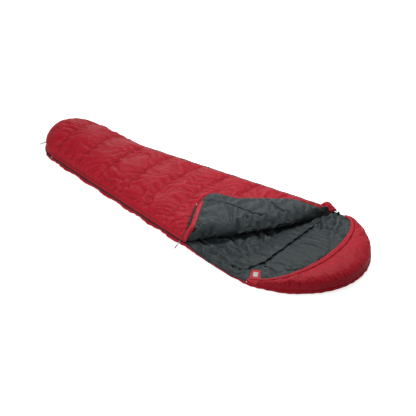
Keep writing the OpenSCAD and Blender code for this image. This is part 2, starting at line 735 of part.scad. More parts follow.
// The draft collar is a raised baffle across the chest, highest at its head side
collar_to = panel_from - 4;
collar_half = half(shoulder_x) - 62;
near_notch = 36;
module draft_collar() {
    profile = [[0, 0.12], [0.35, 0.5], [0.7, 0.85], [0.92, 1], [1, 0.55]];
    breaks = [for (p = PILLOW) if (p[0] > 0 && p[0] < 0.9) p[0] * half(shoulder_x) / collar_half];
    ends = concat([-1, -0.93], -1 * breaks, [0], [breaks[1], breaks[0] - 0.06]);
    collar_gap = layer_gap + 0.8;
    function collar_point(p, e, lift) =
        let (y = e * collar_half, notch = near_notch * clamp((-e - 0.7) / 0.23))
        let (x = collar_to - notch - collar_width * (1 - p[0]))
        [x, y, bottom_z(x, y) + collar_gap + lift];
    color(LINING) slab(
        [for (p = profile) [for (e = ends) collar_point(p, e, max(1.5, collar_loft * p[1] * bulge(e, 4)))]],
        [for (p = profile) [for (e = ends) collar_point(p, e, 0)]]
    );
}

// The tab is sewn where the hood's opening meets the zip, and lies inwards over the lining
tab_z = bottom_thickness - 0.5;
module tab_frame(lift = 0) {
    translate([tab_x, -half(tab_x) + tab_edge, tab_z + lift]) rotate([0, 0, tab_turn]) children();
}
module tab_outline(shrink = 0) {
    top_w = tab_top_width;
    polygon([
        [-tab_width / 2 + shrink, shrink], [tab_width / 2 - shrink, shrink],
        [top_w / 2 - shrink, tab_length - shrink - 6], [top_w / 2 - shrink - 6, tab_length - shrink],
        [-top_w / 2 + shrink + 6, tab_length - shrink], [-top_w / 2 + shrink, tab_length - shrink - 6]
    ]);
}

module zip_tab() {
    color(SHELL) tab_frame() linear_extrude(tab_t) tab_outline();
}

label_t = 0.6;
module tab_label() {
    color("lightgray") tab_frame(tab_t + 0.05) translate([0, tab_length * 0.5, 0]) linear_extrude(label_t)
        square([tab_width * 0.42, tab_length * 0.5], center = true);
}

module tab_hook_patch() {
    patch_t = 1.4;
    color(TRIM) tab_frame(-patch_t - 0.05) translate([0, tab_length * 0.62, 0]) linear_extrude(patch_t)
        square([tab_width * 0.5, tab_length * 0.4], center = true);
}

// A cord loop hangs from the seam at the foot
loop_y = 98;
loop_x = foot_x + foot_cap * (1 - sqrt(1 - pow(loop_y / foot_half_width, 2)));
loop_turn = 196;
loop_droop = 30;
anchor_out = 2 * piping_r + 4;
module loop_frame() {
    translate([loop_x, -loop_y, zip_z]) rotate([0, 0, loop_turn]) children();
}

pivot_out = anchor_out + loop_r + 0.9;
loop_clearance = 0.3;
module loop_anchor() {
    sleeve_r = loop_r + 1.5;
    inner = loop_width - 4 * loop_r - 1;
    color(TRIM) loop_frame() difference() {
        union() {
            translate([piping_out + piping_r + 0.6, -inner / 2, -2])
                cube([anchor_out - piping_out - piping_r, inner, 4]);
            translate([pivot_out, inner / 2, 0]) rotate([90, 0, 0]) cylinder(r = sleeve_r, h = inner, $fn = 32);
        }
        translate([pivot_out, inner, 0]) rotate([90, 0, 0])
            cylinder(r = loop_r + loop_clearance, h = 2 * inner, $fn = 32);
    }
}

module foot_loop() {
    end = loop_width / 2 - loop_r;
    straight = loop_length - loop_width / 2;
    color([0.62, 0.63, 0.63]) loop_frame() translate([pivot_out, 0, 0]) rotate([0, loop_droop, 0]) {
        for (side = [-1, 1]) translate([0, side * end, 0]) rotate([0, 90, 0])
            cylinder(r = loop_r, h = straight, $fn = 20);
        translate([straight, 0, 0]) rotate([0, 0, -90]) rotate_extrude(angle = 180, $fn = 40)
            translate([end, 0]) circle(r = loop_r, $fn = 20);
        translate([0, -end, 0]) rotate([-90, 0, 0]) cylinder(r = loop_r, h = 2 * end, $fn = 20);
    }
}

bottom_shell();
bottom_insulation();
bottom_lining();
hood_centre_panel();
draft_collar();
top_shell();
top_insulation();
top_lining();
side_piping();
hood_shell();
hood_insulation();
hood_lining();
hood_edge_channel();
hood_drawcord();
drawcord_end();
cord_lock_body();
cord_lock_button();
cord_lock_spring();
zip_tape_bottom();
zip_coil_bottom();
zip_tape_top();
zip_coil_top();
zip_bottom_stop();
zip_tape_open();
zip_coil_open();
zip_end_stop();
zip_draft_tube();
zip_slider();
pull_cord();
puller();
flap_shell();
flap_insulation();
flap_lining();
flap_facing();
flap_zip_tape();
flap_zip_coil();
flap_end_stop();
zip_tab();
tab_label();
tab_hook_patch();
foot_loop();
loop_anchor();
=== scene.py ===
"""Looks of a mummy sleeping bag laid open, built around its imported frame. Metres; foot towards -X, zip side -Y."""
import math

import bpy
import numpy as np
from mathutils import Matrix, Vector, geometry


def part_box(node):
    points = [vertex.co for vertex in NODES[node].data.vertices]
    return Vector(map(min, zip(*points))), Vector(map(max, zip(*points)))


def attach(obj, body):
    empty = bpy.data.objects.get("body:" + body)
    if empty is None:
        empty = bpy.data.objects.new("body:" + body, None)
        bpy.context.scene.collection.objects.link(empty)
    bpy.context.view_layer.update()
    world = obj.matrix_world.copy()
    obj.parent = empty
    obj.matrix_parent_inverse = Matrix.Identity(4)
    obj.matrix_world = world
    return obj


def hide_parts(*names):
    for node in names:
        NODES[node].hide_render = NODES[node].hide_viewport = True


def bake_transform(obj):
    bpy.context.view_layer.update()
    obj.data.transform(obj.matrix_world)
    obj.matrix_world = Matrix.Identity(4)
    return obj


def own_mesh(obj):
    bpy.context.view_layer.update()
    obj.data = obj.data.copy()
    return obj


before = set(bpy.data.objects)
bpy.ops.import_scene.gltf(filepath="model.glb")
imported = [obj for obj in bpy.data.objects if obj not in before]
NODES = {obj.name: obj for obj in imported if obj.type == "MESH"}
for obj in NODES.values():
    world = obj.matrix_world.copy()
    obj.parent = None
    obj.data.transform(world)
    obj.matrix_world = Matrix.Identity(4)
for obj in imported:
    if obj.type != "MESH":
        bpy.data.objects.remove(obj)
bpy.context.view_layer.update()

scene = bpy.context.scene

# ---------------------------------------------------------------- shape of the bag, as in its CAD source
FOOT_X, CROWN_X = -1.15, 1.15
SIDE_START, SHOULDER_X, SLIDER_X = -0.99, 0.68, 0.23
FOOT_HALF, SHOULDER_HALF = 0.200, 0.428
SIDE_SLOPE = (SHOULDER_HALF - FOOT_HALF) / (SHOULDER_X - SIDE_START)
BODY_LOFT, FOOT_LOFT, QUILT_T, BOTTOM_T = 0.108, 0.172, 0.036, 0.044
ZIP_Z, EDGE_LOW, EDGE_TOP_LOW, EDGE_TOP = 0.034, 0.031, 0.037, 0.052
EDGE_DROP = 0.013
TAB_X = SHOULDER_X + 0.085
FOLD_A = np.array([0.262, -0.370899])
FOLD_U = np.array([0.533569, 0.845756])
FOLD_N = np.array([-0.845756, 0.533569])
FOLD_LENGTH, FOLD_Z = 0.886483, 0.112
REACH = np.array([
    [0.045, 34], [0.10, 120], [0.165, 226], [0.225, 282], [0.285, 304], [0.345, 262], [0.42, 204],
    [0.53, 170], [0.66, 138], [0.78, 98], [0.87, 52], [0.92, 22]]) * [1, 0.001]
FLAP_FROM, FLAP_TO = REACH[0, 0] * FOLD_LENGTH, REACH[-1, 0] * FOLD_LENGTH


def mix(a, b, t):
    return a + (b - a) * t


def sat(t):
    return np.clip(t, 0.0, 1.0)


def ease(t):
    t = sat(t)
    return t * t * (3 - 2 * t)


def swell(t, p):
    return np.clip(1 - (1 - sat(t)) ** p, 0, None) ** (1 / p)


def bulge(u, p):
    return np.clip(1 - np.minimum(1, np.abs(u)) ** p, 0, None) ** (1 / p)


def side_line(x):
    return FOOT_HALF + SIDE_SLOPE * (x - SIDE_START)


def half(x):
    x = np.asarray(x, float)
    a = side_line(x) * np.sqrt(np.clip(1 - sat((SIDE_START - x) / 0.16) ** 2, 0, 1))
    b = SHOULDER_HALF * np.sqrt(np.clip(1 - sat((x - SHOULDER_X) / 0.47) ** 1.8, 0, 1))
    k = 0.01
    return np.maximum(0, np.minimum(a, b) - k * np.log(1 + np.exp(-np.abs(a - b) / k)))


def crest(x):
    return mix(BODY_LOFT, FOOT_LOFT, sat((0.3 - x) / 1.25) ** 3)


def arch(x, y):
    return bulge(y / np.maximum(0.001, half(x)), 1.8) * swell((x - FOOT_X) / 0.16, 2.2)


def shell_z(x, y):
    return mix(EDGE_TOP, crest(x), arch(x, y))


def lining_z(x, y):
    return mix(EDGE_TOP_LOW, crest(x) - QUILT_T, arch(x, y))


def drop_here(x):
    return ease((x - SLIDER_X - 0.04) / 0.12) * ease((TAB_X - 0.03 - x) / 0.12)


def bottom_z(x, y):
    f = np.minimum(1, np.abs(y) / np.maximum(0.001, half(x)))
    rise = np.interp(f, [0, 0.4, 0.75, 0.93, 1], [1, 1, 0.76, 0.38, 0])
    return mix(EDGE_LOW, BOTTOM_T, rise) - np.where(y < 0, EDGE_DROP * drop_here(x) * sat((f - 0.4) / 0.6) ** 2, 0)


def fold_sr(x, y):
    d0, d1 = x - FOLD_A[0], y - FOLD_A[1]
    return d0 * FOLD_U[0] + d1 * FOLD_U[1], d0 * FOLD_N[0] + d1 * FOLD_N[1]


def on_flap(s, r):
    return (FOLD_A[0] + s * FOLD_U[0] + r * FOLD_N[0], FOLD_A[1] + s * FOLD_U[1] + r * FOLD_N[1])


def reach(s):
    return np.interp(s / FOLD_LENGTH, REACH[:, 0], REACH[:, 1])


def flap_low(x, y):
    return (shell_z(x, y) + 0.002 + FOLD_Z) / 2


# ---------------------------------------------------------------- noise used for folds and puckers
def waves(x, y, size, angle, spread, seed, count=10):
    """A smooth random field between about -1 and 1: long crests of width size that run along angle."""
    rng = np.random.RandomState(seed)
    total = np.zeros(np.broadcast(x, y).shape)
    for _ in range(count):
        a = math.radians(angle + 90 + spread * rng.uniform(-1, 1))
        k = 2 * math.pi / (size * rng.uniform(0.75, 1.5))
        total = total + np.sin(k * (x * math.cos(a) + y * math.sin(a)) + rng.uniform(0, 6.28))
    return total / math.sqrt(count)


def ripple(along, size, seed, count=10):
    """The same kind of field along one direction only, for crimps and puckers down an edge."""
    return waves(along, along * 0, size, 90, 5, seed, count)


def folds(x, y, size, angle, spread, seed, sharp=1.0):
    """Creases: narrow valleys between rounded ridges, bent by a slower field."""
    bend = size * 0.55
    wx = x + bend * waves(x, y, size * 3.1, angle + 40, 90, seed + 1, 5)
    wy = y + bend * waves(x, y, size * 3.1, angle - 40, 90, seed + 2, 5)
    f = waves(wx, wy, size, angle, spread, seed, 6)
    return 0.5 - np.abs(np.tanh(f * sharp))


# ---------------------------------------------------------------- mesh helpers
def new_object(name, verts, faces, material, body=None, slot=None, stands_for=(), smooth=True):
    mesh = bpy.data.meshes.new(name)
    mesh.from_pydata([tuple(map(float, v)) for v in verts], [], [tuple(map(int, f)) for f in faces])
    mesh.update()
    ob = bpy.data.objects.new(name, mesh)
    scene.collection.objects.link(ob)
    if smooth:
        mesh.shade_smooth()
    if material:
        mesh.materials.append(material)
    if stands_for:
        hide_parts(*stands_for)
    if body:
        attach(ob, body)
    return ob


def grid_faces(rows, cols, closed=False, start=0):
    out = []
    for i in range(rows - 1):
        for j in range(cols if closed else cols - 1):
            k = (j + 1) % cols
            here, above = start + i * cols, start + (i + 1) * cols
            out.append((here + j, here + k, above + k, above + j))
    return out


def sheet_faces(rows, cols):
    """The faces of an open grid, wound the other way from grid_faces."""
    return [(i * cols + k, (i + 1) * cols + k, (i + 1) * cols + k + 1, i * cols + k + 1)
            for i in range(rows - 1) for k in range(cols - 1)]


def border(rows, cols):
    """Pins for a grid that is held on its four sides."""
    held = np.zeros((rows, cols))
    held[0], held[-1], held[:, 0], held[:, -1] = 1, 1, 1, 1
    return held


def loft(name, rows, material, closed=False, caps=False, **kw):
    """A skin through rows of points; with caps, the first and last ring are closed."""
    rows = np.asarray(rows, float)
    n, m = rows.shape[:2]
    faces = grid_faces(n, m, closed)
    if caps:
        faces += [tuple(range(m))[::-1], tuple((n - 1) * m + k for k in range(m))]
    return new_object(name, rows.reshape(-1, 3), faces, material, **kw)


def resample(points, step, closed=False):
    p = np.asarray(points, float)
    if closed:
        p = np.vstack([p, p[:1]])
    d = np.concatenate([[0], np.cumsum(np.linalg.norm(np.diff(p, axis=0), axis=1))])
    n = max(2, int(round(d[-1] / step)))
    t = np.linspace(0, d[-1], n + 1)
    if closed:
        t = t[:-1]
    return np.stack([np.interp(t, d, p[:, k]) for k in range(p.shape[1])], 1)


def tangents(path, closed=False):
    if closed:
        t = np.roll(path, -1, 0) - np.roll(path, 1, 0)
    else:
        t = np.gradient(path, axis=0)
    return t / np.maximum(1e-12, np.linalg.norm(t, axis=1))[:, None]


def tube(name, path, radius, material, sides=8, **kw):
    """A closed tube along a path; radius is one number or one for each point."""
    path = np.asarray(path, float)
    t = tangents(path)
    side = np.cross(t, [0, 0, 1.0])
    bad = np.linalg.norm(side, axis=1) < 1e-3
    side[bad] = [1, 0, 0]
    side /= np.linalg.norm(side, axis=1)[:, None]
    up = np.cross(side, t)
    r = np.broadcast_to(np.asarray(radius, float), (len(path),))
    a = np.arange(sides) * 2 * math.pi / sides
    rows = [path[i] + r[i] * (np.cos(a)[:, None] * side[i] + np.sin(a)[:, None] * up[i])
            for i in range(len(path))]
    return loft(name, rows, material, closed=True, caps=True, **kw)


def in_poly(x, y, poly):
    inside = np.zeros(x.shape, bool)
    x0, y0 = poly[-1]
    for x1, y1 in poly:
        cross = (y1 > y) != (y0 > y)
        if y1 != y0:
            inside ^= cross & (x < (x0 - x1) * (y - y1) / (y0 - y1) + x1)
        x0, y0 = x1, y1
    return inside


def distance_to(points, line):
    """Distance from each point to a polyline."""
    best = np.full(len(points), 1e9)
    for a, b in zip(line[:-1], line[1:]):
        ab = b - a
        t = sat(((points - a) @ ab) / max(1e-12, ab @ ab))
        best = np.minimum(best, np.linalg.norm(points - a - t[:, None] * ab, axis=1))
    return best


def edge_distance(points, outline):
    """Distance from each point to a closed outline."""
    return distance_to(points, np.vstack([outline, outline[:1]]))


def seam_distance(points, seams):
    """Distance from each point to the nearest of several lines."""
    return np.min([distance_to(points, line) for line in seams], axis=0)


def plan_mesh(outline, h, seams=()):
    """Even triangles inside an outline. Returns points, faces and how many of the first points are the outline's."""
    edge = resample(outline, h, closed=True)
    lo, hi = edge.min(0), edge.max(0)
    ys = np.arange(lo[1], hi[1], h * 0.866)
    grid = [np.arange(lo[0] + (h / 2 if k % 2 else 0), hi[0], h)[:, None] for k in range(len(ys))]
    pts = np.vstack([np.hstack([g, np.full((len(g), 1), y)]) for g, y in zip(grid, ys)])
    pts = pts[in_poly(pts[:, 0], pts[:, 1], edge)]
    pts = pts[edge_distance(pts, edge) > 0.55 * h]
    for seam in seams:
        line = resample(seam, h)
        keep = in_poly(line[:, 0], line[:, 1], edge) & (edge_distance(line, edge) > 0.5 * h)
        pts = pts[distance_to(pts, line) > 0.5 * h]
        pts = np.vstack([pts, line[keep]])
    every = np.vstack([edge, pts])
    made = geometry.delaunay_2d_cdt([Vector(p) for p in every], [], [list(range(len(edge)))], 1, 1e-7)
    source = [o[0] if o else -1 for o in made[3]]
    order = {s: i for i, s in enumerate(source)}
    place = [order.get(i, -1) for i in range(len(every))]
    assert all(p >= 0 for p in place[:len(edge)])
    back = {p: i for i, p in enumerate(place) if p >= 0}
    faces = [tuple(back[v] for v in f) for f in made[2] if all(v in back for v in f)]
    return every, faces, len(edge)


def skirt(verts, faces, count, rows):
    """Adds rows of points beyond the outline, which is the first count points of verts."""
    verts, faces = [np.asarray(verts, float)], list(faces)
    base, above = len(verts[0]), list(range(count))
    for row in rows:
        verts.append(np.asarray(row, float))
        this = list(range(base, base + count))
        for i in range(count):
            k = (i + 1) % count
            faces.append((above[k], above[i], this[i], this[k]))
        above, base = this, base + count
    return np.vstack(verts), faces


CLOTH_MASS, CLOTH_STIFF, CLOTH_BEND = 0.12, 8.0, 0.4


def simulate(verts, faces, pins, grow, pressure, frames, cap, floor):
    """Lets the cloth settle: grow makes the fabric larger than its pattern so that it folds; pins hold its seams."""
    start = np.asarray(verts, float)
    ob = new_object("cloth_work", start, faces, None)
    group = ob.vertex_groups.new(name="pin")
    for w in np.unique(np.round(pins[pins > 0], 2)):
        group.add([int(i) for i in np.nonzero(np.abs(pins - w) < 0.006)[0]], float(w), "REPLACE")
    mod = ob.modifiers.new("cloth", "CLOTH")
    s = mod.settings
    s.quality, s.mass, s.air_damping = 6, CLOTH_MASS, 2.0
    s.tension_stiffness = s.compression_stiffness = CLOTH_STIFF
    s.shear_stiffness, s.bending_stiffness = CLOTH_STIFF * 0.5, CLOTH_BEND
    s.tension_damping = s.compression_damping = s.shear_damping = 8
    s.bending_damping = 1.0
    s.shrink_min = s.shrink_max = -grow
    s.vertex_group_mass, s.pin_stiffness = "pin", 5.0
    s.use_pressure, s.uniform_pressure_force = True, pressure
    s.effector_weights.gravity = 0
    mod.collision_settings.use_collision = False
    mod.point_cache.frame_start, mod.point_cache.frame_end = 1, frames
    for f in range(1, frames + 1):
        scene.frame_set(f)
    done = ob.evaluated_get(bpy.context.evaluated_depsgraph_get())
    co = np.zeros(len(start) * 3)
    done.data.vertices.foreach_get("co", co)
    co = co.reshape(-1, 3)
    scene.frame_set(1)
    bpy.data.objects.remove(ob)
    move = co - start
    move[~np.isfinite(move)] = 0
    size = np.linalg.norm(move, axis=1)
    cap = np.broadcast_to(cap, size.shape)
    move *= (cap * np.tanh(size / cap) / np.maximum(size, 1e-9))[:, None]
    out = start + move
    out[:, 2] = np.maximum(out[:, 2], start[:, 2] - floor)
    return out


def finish_mesh(ob):
    mod = ob.modifiers.new("subdivision", "SUBSURF")
    mod.levels = mod.render_levels = 1


# ---------------------------------------------------------------- materials
SHEEN_ROUGH = 0.35


def empty_tree(owner):
    """Clears the owner's nodes and returns a maker of nodes and a maker of links."""
    owner.use_nodes = True
    tree = owner.node_tree
    tree.nodes.clear()

    def node(kind, **values):
        n = tree.nodes.new(kind)
        for k, v in values.items():
            if hasattr(n, k):
                setattr(n, k, v)
            else:
                n.inputs[k].default_value = v
        return n

    def link(a, b):
        tree.links.new(a, b)

    return node, link


def material(name, color, rough=0.6, metal=0.0, sheen=0.0, sheen_tint=(1, 1, 1), spec=0.4, mottle=0.08,
             mottle_scale=7.0, weave=0.0, crinkle=0.0, crinkle_scale=38.0, coat=0.0, painted_crease_shading=0.0):
    """A procedural surface: slow colour variation, a fine weave and small crinkles in the cloth's own space, and,
    where asked, painted shade darkening the colour in creases and painted highlight lightening it on ridges, from the
    mesh's pointiness.
    """
    m = bpy.data.materials.new(name)
    node, link = empty_tree(m)
    out = node("ShaderNodeOutputMaterial")
    shader = node("ShaderNodeBsdfPrincipled")
    link(shader.outputs[0], out.inputs[0])
    for socket, value in (("Metallic", metal), ("Specular IOR Level", spec), ("Sheen Weight", sheen),
                          ("Sheen Roughness", SHEEN_ROUGH), ("Sheen Tint", (*sheen_tint, 1)),
                          ("Coat Weight", coat)):
        shader.inputs[socket].default_value = value
    place = node("ShaderNodeTexCoord").outputs["Object"]
    slow = node("ShaderNodeTexNoise", Scale=mottle_scale, Detail=4.0, Roughness=0.6)
    link(place, slow.inputs["Vector"])
    tint = node("ShaderNodeMix", data_type="RGBA")
    link(slow.outputs["Fac"], tint.inputs["Factor"])
    tint.inputs["A"].default_value = (*[c * (1 - mottle) for c in color], 1)
    tint.inputs["B"].default_value = (*[min(1, c * (1 + mottle)) for c in color], 1)
    # painted shade and highlight: the base colour is darkened in creases and lightened on ridges by the mesh's
    # pointiness
    if painted_crease_shading:
        bend = node("ShaderNodeNewGeometry").outputs["Pointiness"]
        crease_shade_factor = node("ShaderNodeMapRange")
        crease_shade_factor.inputs["From Min"].default_value, crease_shade_factor.inputs["From Max"].default_value = 0.44, 0.56
        crease_shade_factor.inputs["To Min"].default_value, crease_shade_factor.inputs["To Max"].default_value = 1 - painted_crease_shading, 1 + 0.45 * painted_crease_shading
        link(bend, crease_shade_factor.inputs["Value"])
        shade = node("ShaderNodeVectorMath", operation="SCALE")
        link(tint.outputs["Result"], shade.inputs[0])
        link(crease_shade_factor.outputs["Result"], shade.inputs["Scale"])
        link(shade.outputs["Vector"], shader.inputs["Base Color"])
    else:
        link(tint.outputs["Result"], shader.inputs["Base Color"])
    fine = node("ShaderNodeTexNoise", Scale=mottle_scale * 6, Detail=3.0)
    link(place, fine.inputs["Vector"])
    gloss = node("ShaderNodeMapRange")
    gloss.inputs["To Min"].default_value = max(0.05, rough - 0.07)
    gloss.inputs["To Max"].default_value = min(1.0, rough + 0.07)
    link(fine.outputs["Fac"], gloss.inputs["Value"])
    link(gloss.outputs["Result"], shader.inputs["Roughness"])
    normal = None
    if crinkle:
        rumple = node("ShaderNodeTexNoise", Scale=crinkle_scale, Detail=5.0, Roughness=0.62, Distortion=0.8)
        link(place, rumple.inputs["Vector"])
        bump = node("ShaderNodeBump", Strength=crinkle, Distance=0.012)
        link(rumple.outputs["Fac"], bump.inputs["Height"])
        normal = bump.outputs["Normal"]
    if weave:
        heights = []
        for axis in ("X", "Y"):
            w = node("ShaderNodeTexWave", wave_type="BANDS", bands_direction=axis, Scale=weave)
            link(place, w.inputs["Vector"])
            heights.append(w.outputs["Fac"])
        cross = node("ShaderNodeMath", operation="MULTIPLY")
        link(heights[0], cross.inputs[0])
        link(heights[1], cross.inputs[1])
        bump = node("ShaderNodeBump", Strength=0.25, Distance=0.0004)
        link(cross.outputs[0], bump.inputs["Height"])
        if normal:
            link(normal, bump.inputs["Normal"])
        normal = bump.outputs["Normal"]
    if normal:
        link(normal, shader.inputs["Normal"])
    return m


# the shell and lining colours carry painted shade in their creases and painted highlight on their ridges
RED = material("shell_red", (0.40, 0.0085, 0.021), rough=0.52, sheen=0.03, sheen_tint=(1.0, 0.35, 0.4),
               spec=0.13, painted_crease_shading=0.55, mottle=0.10, weave=260, crinkle=0.42, crinkle_scale=30)
RED_TRIM = material("trim_red", (0.42, 0.010, 0.023), rough=0.55, sheen=0.08, sheen_tint=(1.0, 0.4, 0.4), spec=0.22,
                    mottle=0.05, weave=260, crinkle=0.2, crinkle_scale=80)
GREY = material("lining_grey", (0.028, 0.038, 0.041), rough=0.55, sheen=0.06, sheen_tint=(0.75, 0.88, 0.9),
                spec=0.22, painted_crease_shading=0.95, mottle=0.14, weave=260, crinkle=0.42, crinkle_scale=28)
BLACK_TAPE = material("zip_tape_black", (0.012, 0.012, 0.014), rough=0.75, sheen=0.1, spec=0.25, mottle=0.2,
                      weave=420)
BLACK_NYLON = material("coil_black", (0.010, 0.010, 0.012), rough=0.38, spec=0.5, mottle=0.15, mottle_scale=60)
ENAMEL = material("slider_enamel", (0.02, 0.02, 0.022), rough=0.32, spec=0.5, mottle=0.12, mottle_scale=90, coat=0.2)
STEEL = material("bare_steel", (0.58, 0.58, 0.56), rough=0.35, metal=1.0, mottle=0.08, mottle_scale=120)
MOULDED = material("moulded_black", (0.016, 0.016, 0.018), rough=0.45, spec=0.45, mottle=0.12, mottle_scale=80,
                   crinkle=0.08, crinkle_scale=500)
TRIM_BLACK = material("binding_black", (0.014, 0.012, 0.013), rough=0.7, sheen=0.1, spec=0.25, mottle=0.15, weave=420)
CORD_GREY = material("cord_grey", (0.50, 0.51, 0.51), rough=0.7, sheen=0.2, spec=0.3, mottle=0.25, mottle_scale=300,
                     crinkle=0.4, crinkle_scale=900)
CORD_BLACK = material("cord_black", (0.016, 0.016, 0.018), rough=0.7, sheen=0.15, spec=0.3, mottle=0.25,
                      mottle_scale=300, crinkle=0.4, crinkle_scale=900)
LABEL = material("label_satin", (0.42, 0.42, 0.42), rough=0.45, sheen=0.2, spec=0.4, mottle=0.06, weave=420)
HOOKS = material("hook_tape_black", (0.02, 0.02, 0.02), rough=0.9, spec=0.2, mottle=0.3, mottle_scale=500,
                 crinkle=0.6, crinkle_scale=900)

# ---------------------------------------------------------------- outline of the whole bag
far_x = np.concatenate([CROWN_X - 0.0005 - 0.4695 * (1 - np.cos(np.linspace(0, math.pi / 2, 90))),
                        np.linspace(SHOULDER_X, SIDE_START, 170)[1:],
                        FOOT_X + 0.0005 + 0.1595 * (1 - np.cos(np.linspace(math.pi / 2, 0, 50)))[1:]])
far_side = np.stack([far_x, half(far_x)], 1)
OUTLINE = resample(np.vstack([far_side, far_side[::-1] * [1, -1]]), 0.009, closed=True)
SEAMS = [0.055, -0.14, -0.335, -0.535, -0.735, -0.93]


def outward(path):
    """Unit vectors in plan that point out of a closed outline."""
    t = tangents(path, closed=True)
    out = np.stack([t[:, 1], -t[:, 0]], 1)
    return -out if ((path - path.mean(0)) * out).sum() < 0 else out


OUT = outward(OUTLINE)
ALONG = np.concatenate([[0], np.cumsum(np.linalg.norm(np.diff(OUTLINE, axis=0), axis=1))])
zip_side = (OUTLINE[:, 1] < 0) & (OUTLINE[:, 0] > SIDE_START) & (OUTLINE[:, 0] < SLIDER_X + 0.03)
open_side = (OUTLINE[:, 1] < 0) & (OUTLINE[:, 0] >= SLIDER_X + 0.03) & (OUTLINE[:, 0] < TAB_X - 0.03)


def ring(out, z):
    """The outline moved outwards by out and set at height z; both may be arrays."""
    out = np.broadcast_to(np.asarray(out, float), (len(OUTLINE),))
    z = np.broadcast_to(np.asarray(z, float), (len(OUTLINE),))
    p = OUTLINE + OUT * out[:, None]
    return np.column_stack([p, z])


def soft(mask, width=6):
    """A mask with soft ends, round the outline."""
    k = np.hanning(2 * width + 1)
    m = np.convolve(np.concatenate([mask[-width:], mask, mask[:width]]).astype(float), k / k.sum(), "same")
    return m[width:-width]


ZIP_SIDE, OPEN_SIDE = soft(zip_side), soft(open_side, 10)

# ---------------------------------------------------------------- bottom quilt
scallop = 0.5 + 0.5 * np.cos(2 * math.pi * (OUTLINE[:, 0] - SEAMS[0]) / 0.197 + math.pi)
scallop = scallop * (np.abs(OUT[:, 1]) > 0.7) + 0.5 * (np.abs(OUT[:, 1]) <= 0.7)
rough_edge = waves(ALONG, 0 * ALONG, 0.05, 90, 4, 5, 8) * 0.0016
puff = 0.004 * scallop + rough_edge + ZIP_SIDE * (0.0035 + 0.004 * scallop)
edge_z = EDGE_LOW - EDGE_DROP * drop_here(OUTLINE[:, 0]) * (OUTLINE[:, 1] < 0)
wall = [
    ring(-0.060, 0.0), ring(-0.034, 0.0), ring(-0.018 + puff, 0.0015), ring(-0.007 + puff, 0.006),
    ring(0.001 + puff * 1.4, 0.012 - 0.002 * OPEN_SIDE), ring(0.002 + puff * 1.2, 0.018 - 0.005 * OPEN_SIDE),
    ring(0.0015 + 0.0035 * ZIP_SIDE + puff * 0.5, np.minimum(0.0245, edge_z - 0.002)),
    ring(0.0006 + 0.0042 * ZIP_SIDE, np.minimum(0.0285, edge_z)),
    ring(-0.002 + 0.002 * ZIP_SIDE, np.minimum(0.0300, edge_z)),
    ring(-0.006, edge_z - 0.002),
]
pad_rows = [np.column_stack([OUTLINE * f, 0 * ALONG]) for f in (0.02, 0.3, 0.6, 0.82)]
bottom_shell = loft("bottom_shell_fabric", pad_rows + wall, RED, closed=True, body="bag", slot="shell_fabric",
                    stands_for=("bottom_shell", "bottom_insulation"))
finish_mesh(bottom_shell)

inner = OUTLINE - OUT * 0.003
verts2, faces, n_edge = plan_mesh(inner, 0.0110)
x, y = verts2[:, 0], verts2[:, 1]
z = bottom_z(x, y) + 0.0008
d_edge = edge_distance(verts2, inner)
z = z + sat(d_edge / 0.04) * 0.0015 * waves(x, y, 0.06, 60, 40, 21)
floor_verts = np.column_stack([x, y, z])
BOTTOM_SEAMS = [
    np.array([[0.235, -0.330], [0.332, -0.297], [0.404, -0.302], [0.481, -0.304], [0.577, -0.314], [0.634, -0.316]]),
    np.array([[0.360, -0.245], [0.449, -0.265], [0.560, -0.297], [0.633, -0.316]]),
    np.array([[0.400, -0.180], [0.483, -0.203], [0.567, -0.213], [0.639, -0.202]]),
    np.array([[0.633, -0.316], [0.637, -0.254], [0.655, -0.217]]),
    np.array([[0.730, 0.200], [0.800, 0.235], [0.860, 0.230]]),
]
d_seam = seam_distance(verts2, BOTTOM_SEAMS)
d_tab = distance_to(verts2, np.array([[0.775, -0.412], [0.715, -0.325]]))
far_fold = ease((y - 0.14) / 0.10) * ease((x - 0.66) / 0.06) * ease((0.97 - x) / 0.08) * sat(d_edge / 0.05)
pins = np.zeros(len(verts2))
pins[:n_edge] = 1
pins[(x < 0.0) | (d_seam < 0.0055) | (d_tab < 0.040) | ((x > 0.60) & (x < 0.93) & (np.abs(y + 0.03) < 0.20))] = 1
open_part = sat(x / 0.1) * sat(d_edge / 0.03) * sat((d_tab - 0.03) / 0.03)
floor_verts[:, 2] -= 0.0085 * np.exp(-(d_seam / 0.009) ** 2) * open_part
lengthwise = 0.0045 * waves(x, y, 0.055, -14, 16, 22) + 0.0080 * folds(x, y, 0.075, -16, 22, 24)
floor_verts[:, 2] += open_part * lengthwise * ease((0.66 - x) / 0.1)
floor_verts[:, 2] += 0.0055 * far_fold * (1.2 + waves(x, y, 0.050, 120, 30, 23))
floor_verts = simulate(floor_verts, faces, pins, grow=0.065, pressure=1.2, frames=24, cap=0.014, floor=0.007)
bottom_lining = new_object("bottom_lining_fabric", floor_verts, faces, GREY, body="bag", slot="lining_fabric",
                           stands_for=("bottom_lining",))
finish_mesh(bottom_lining)

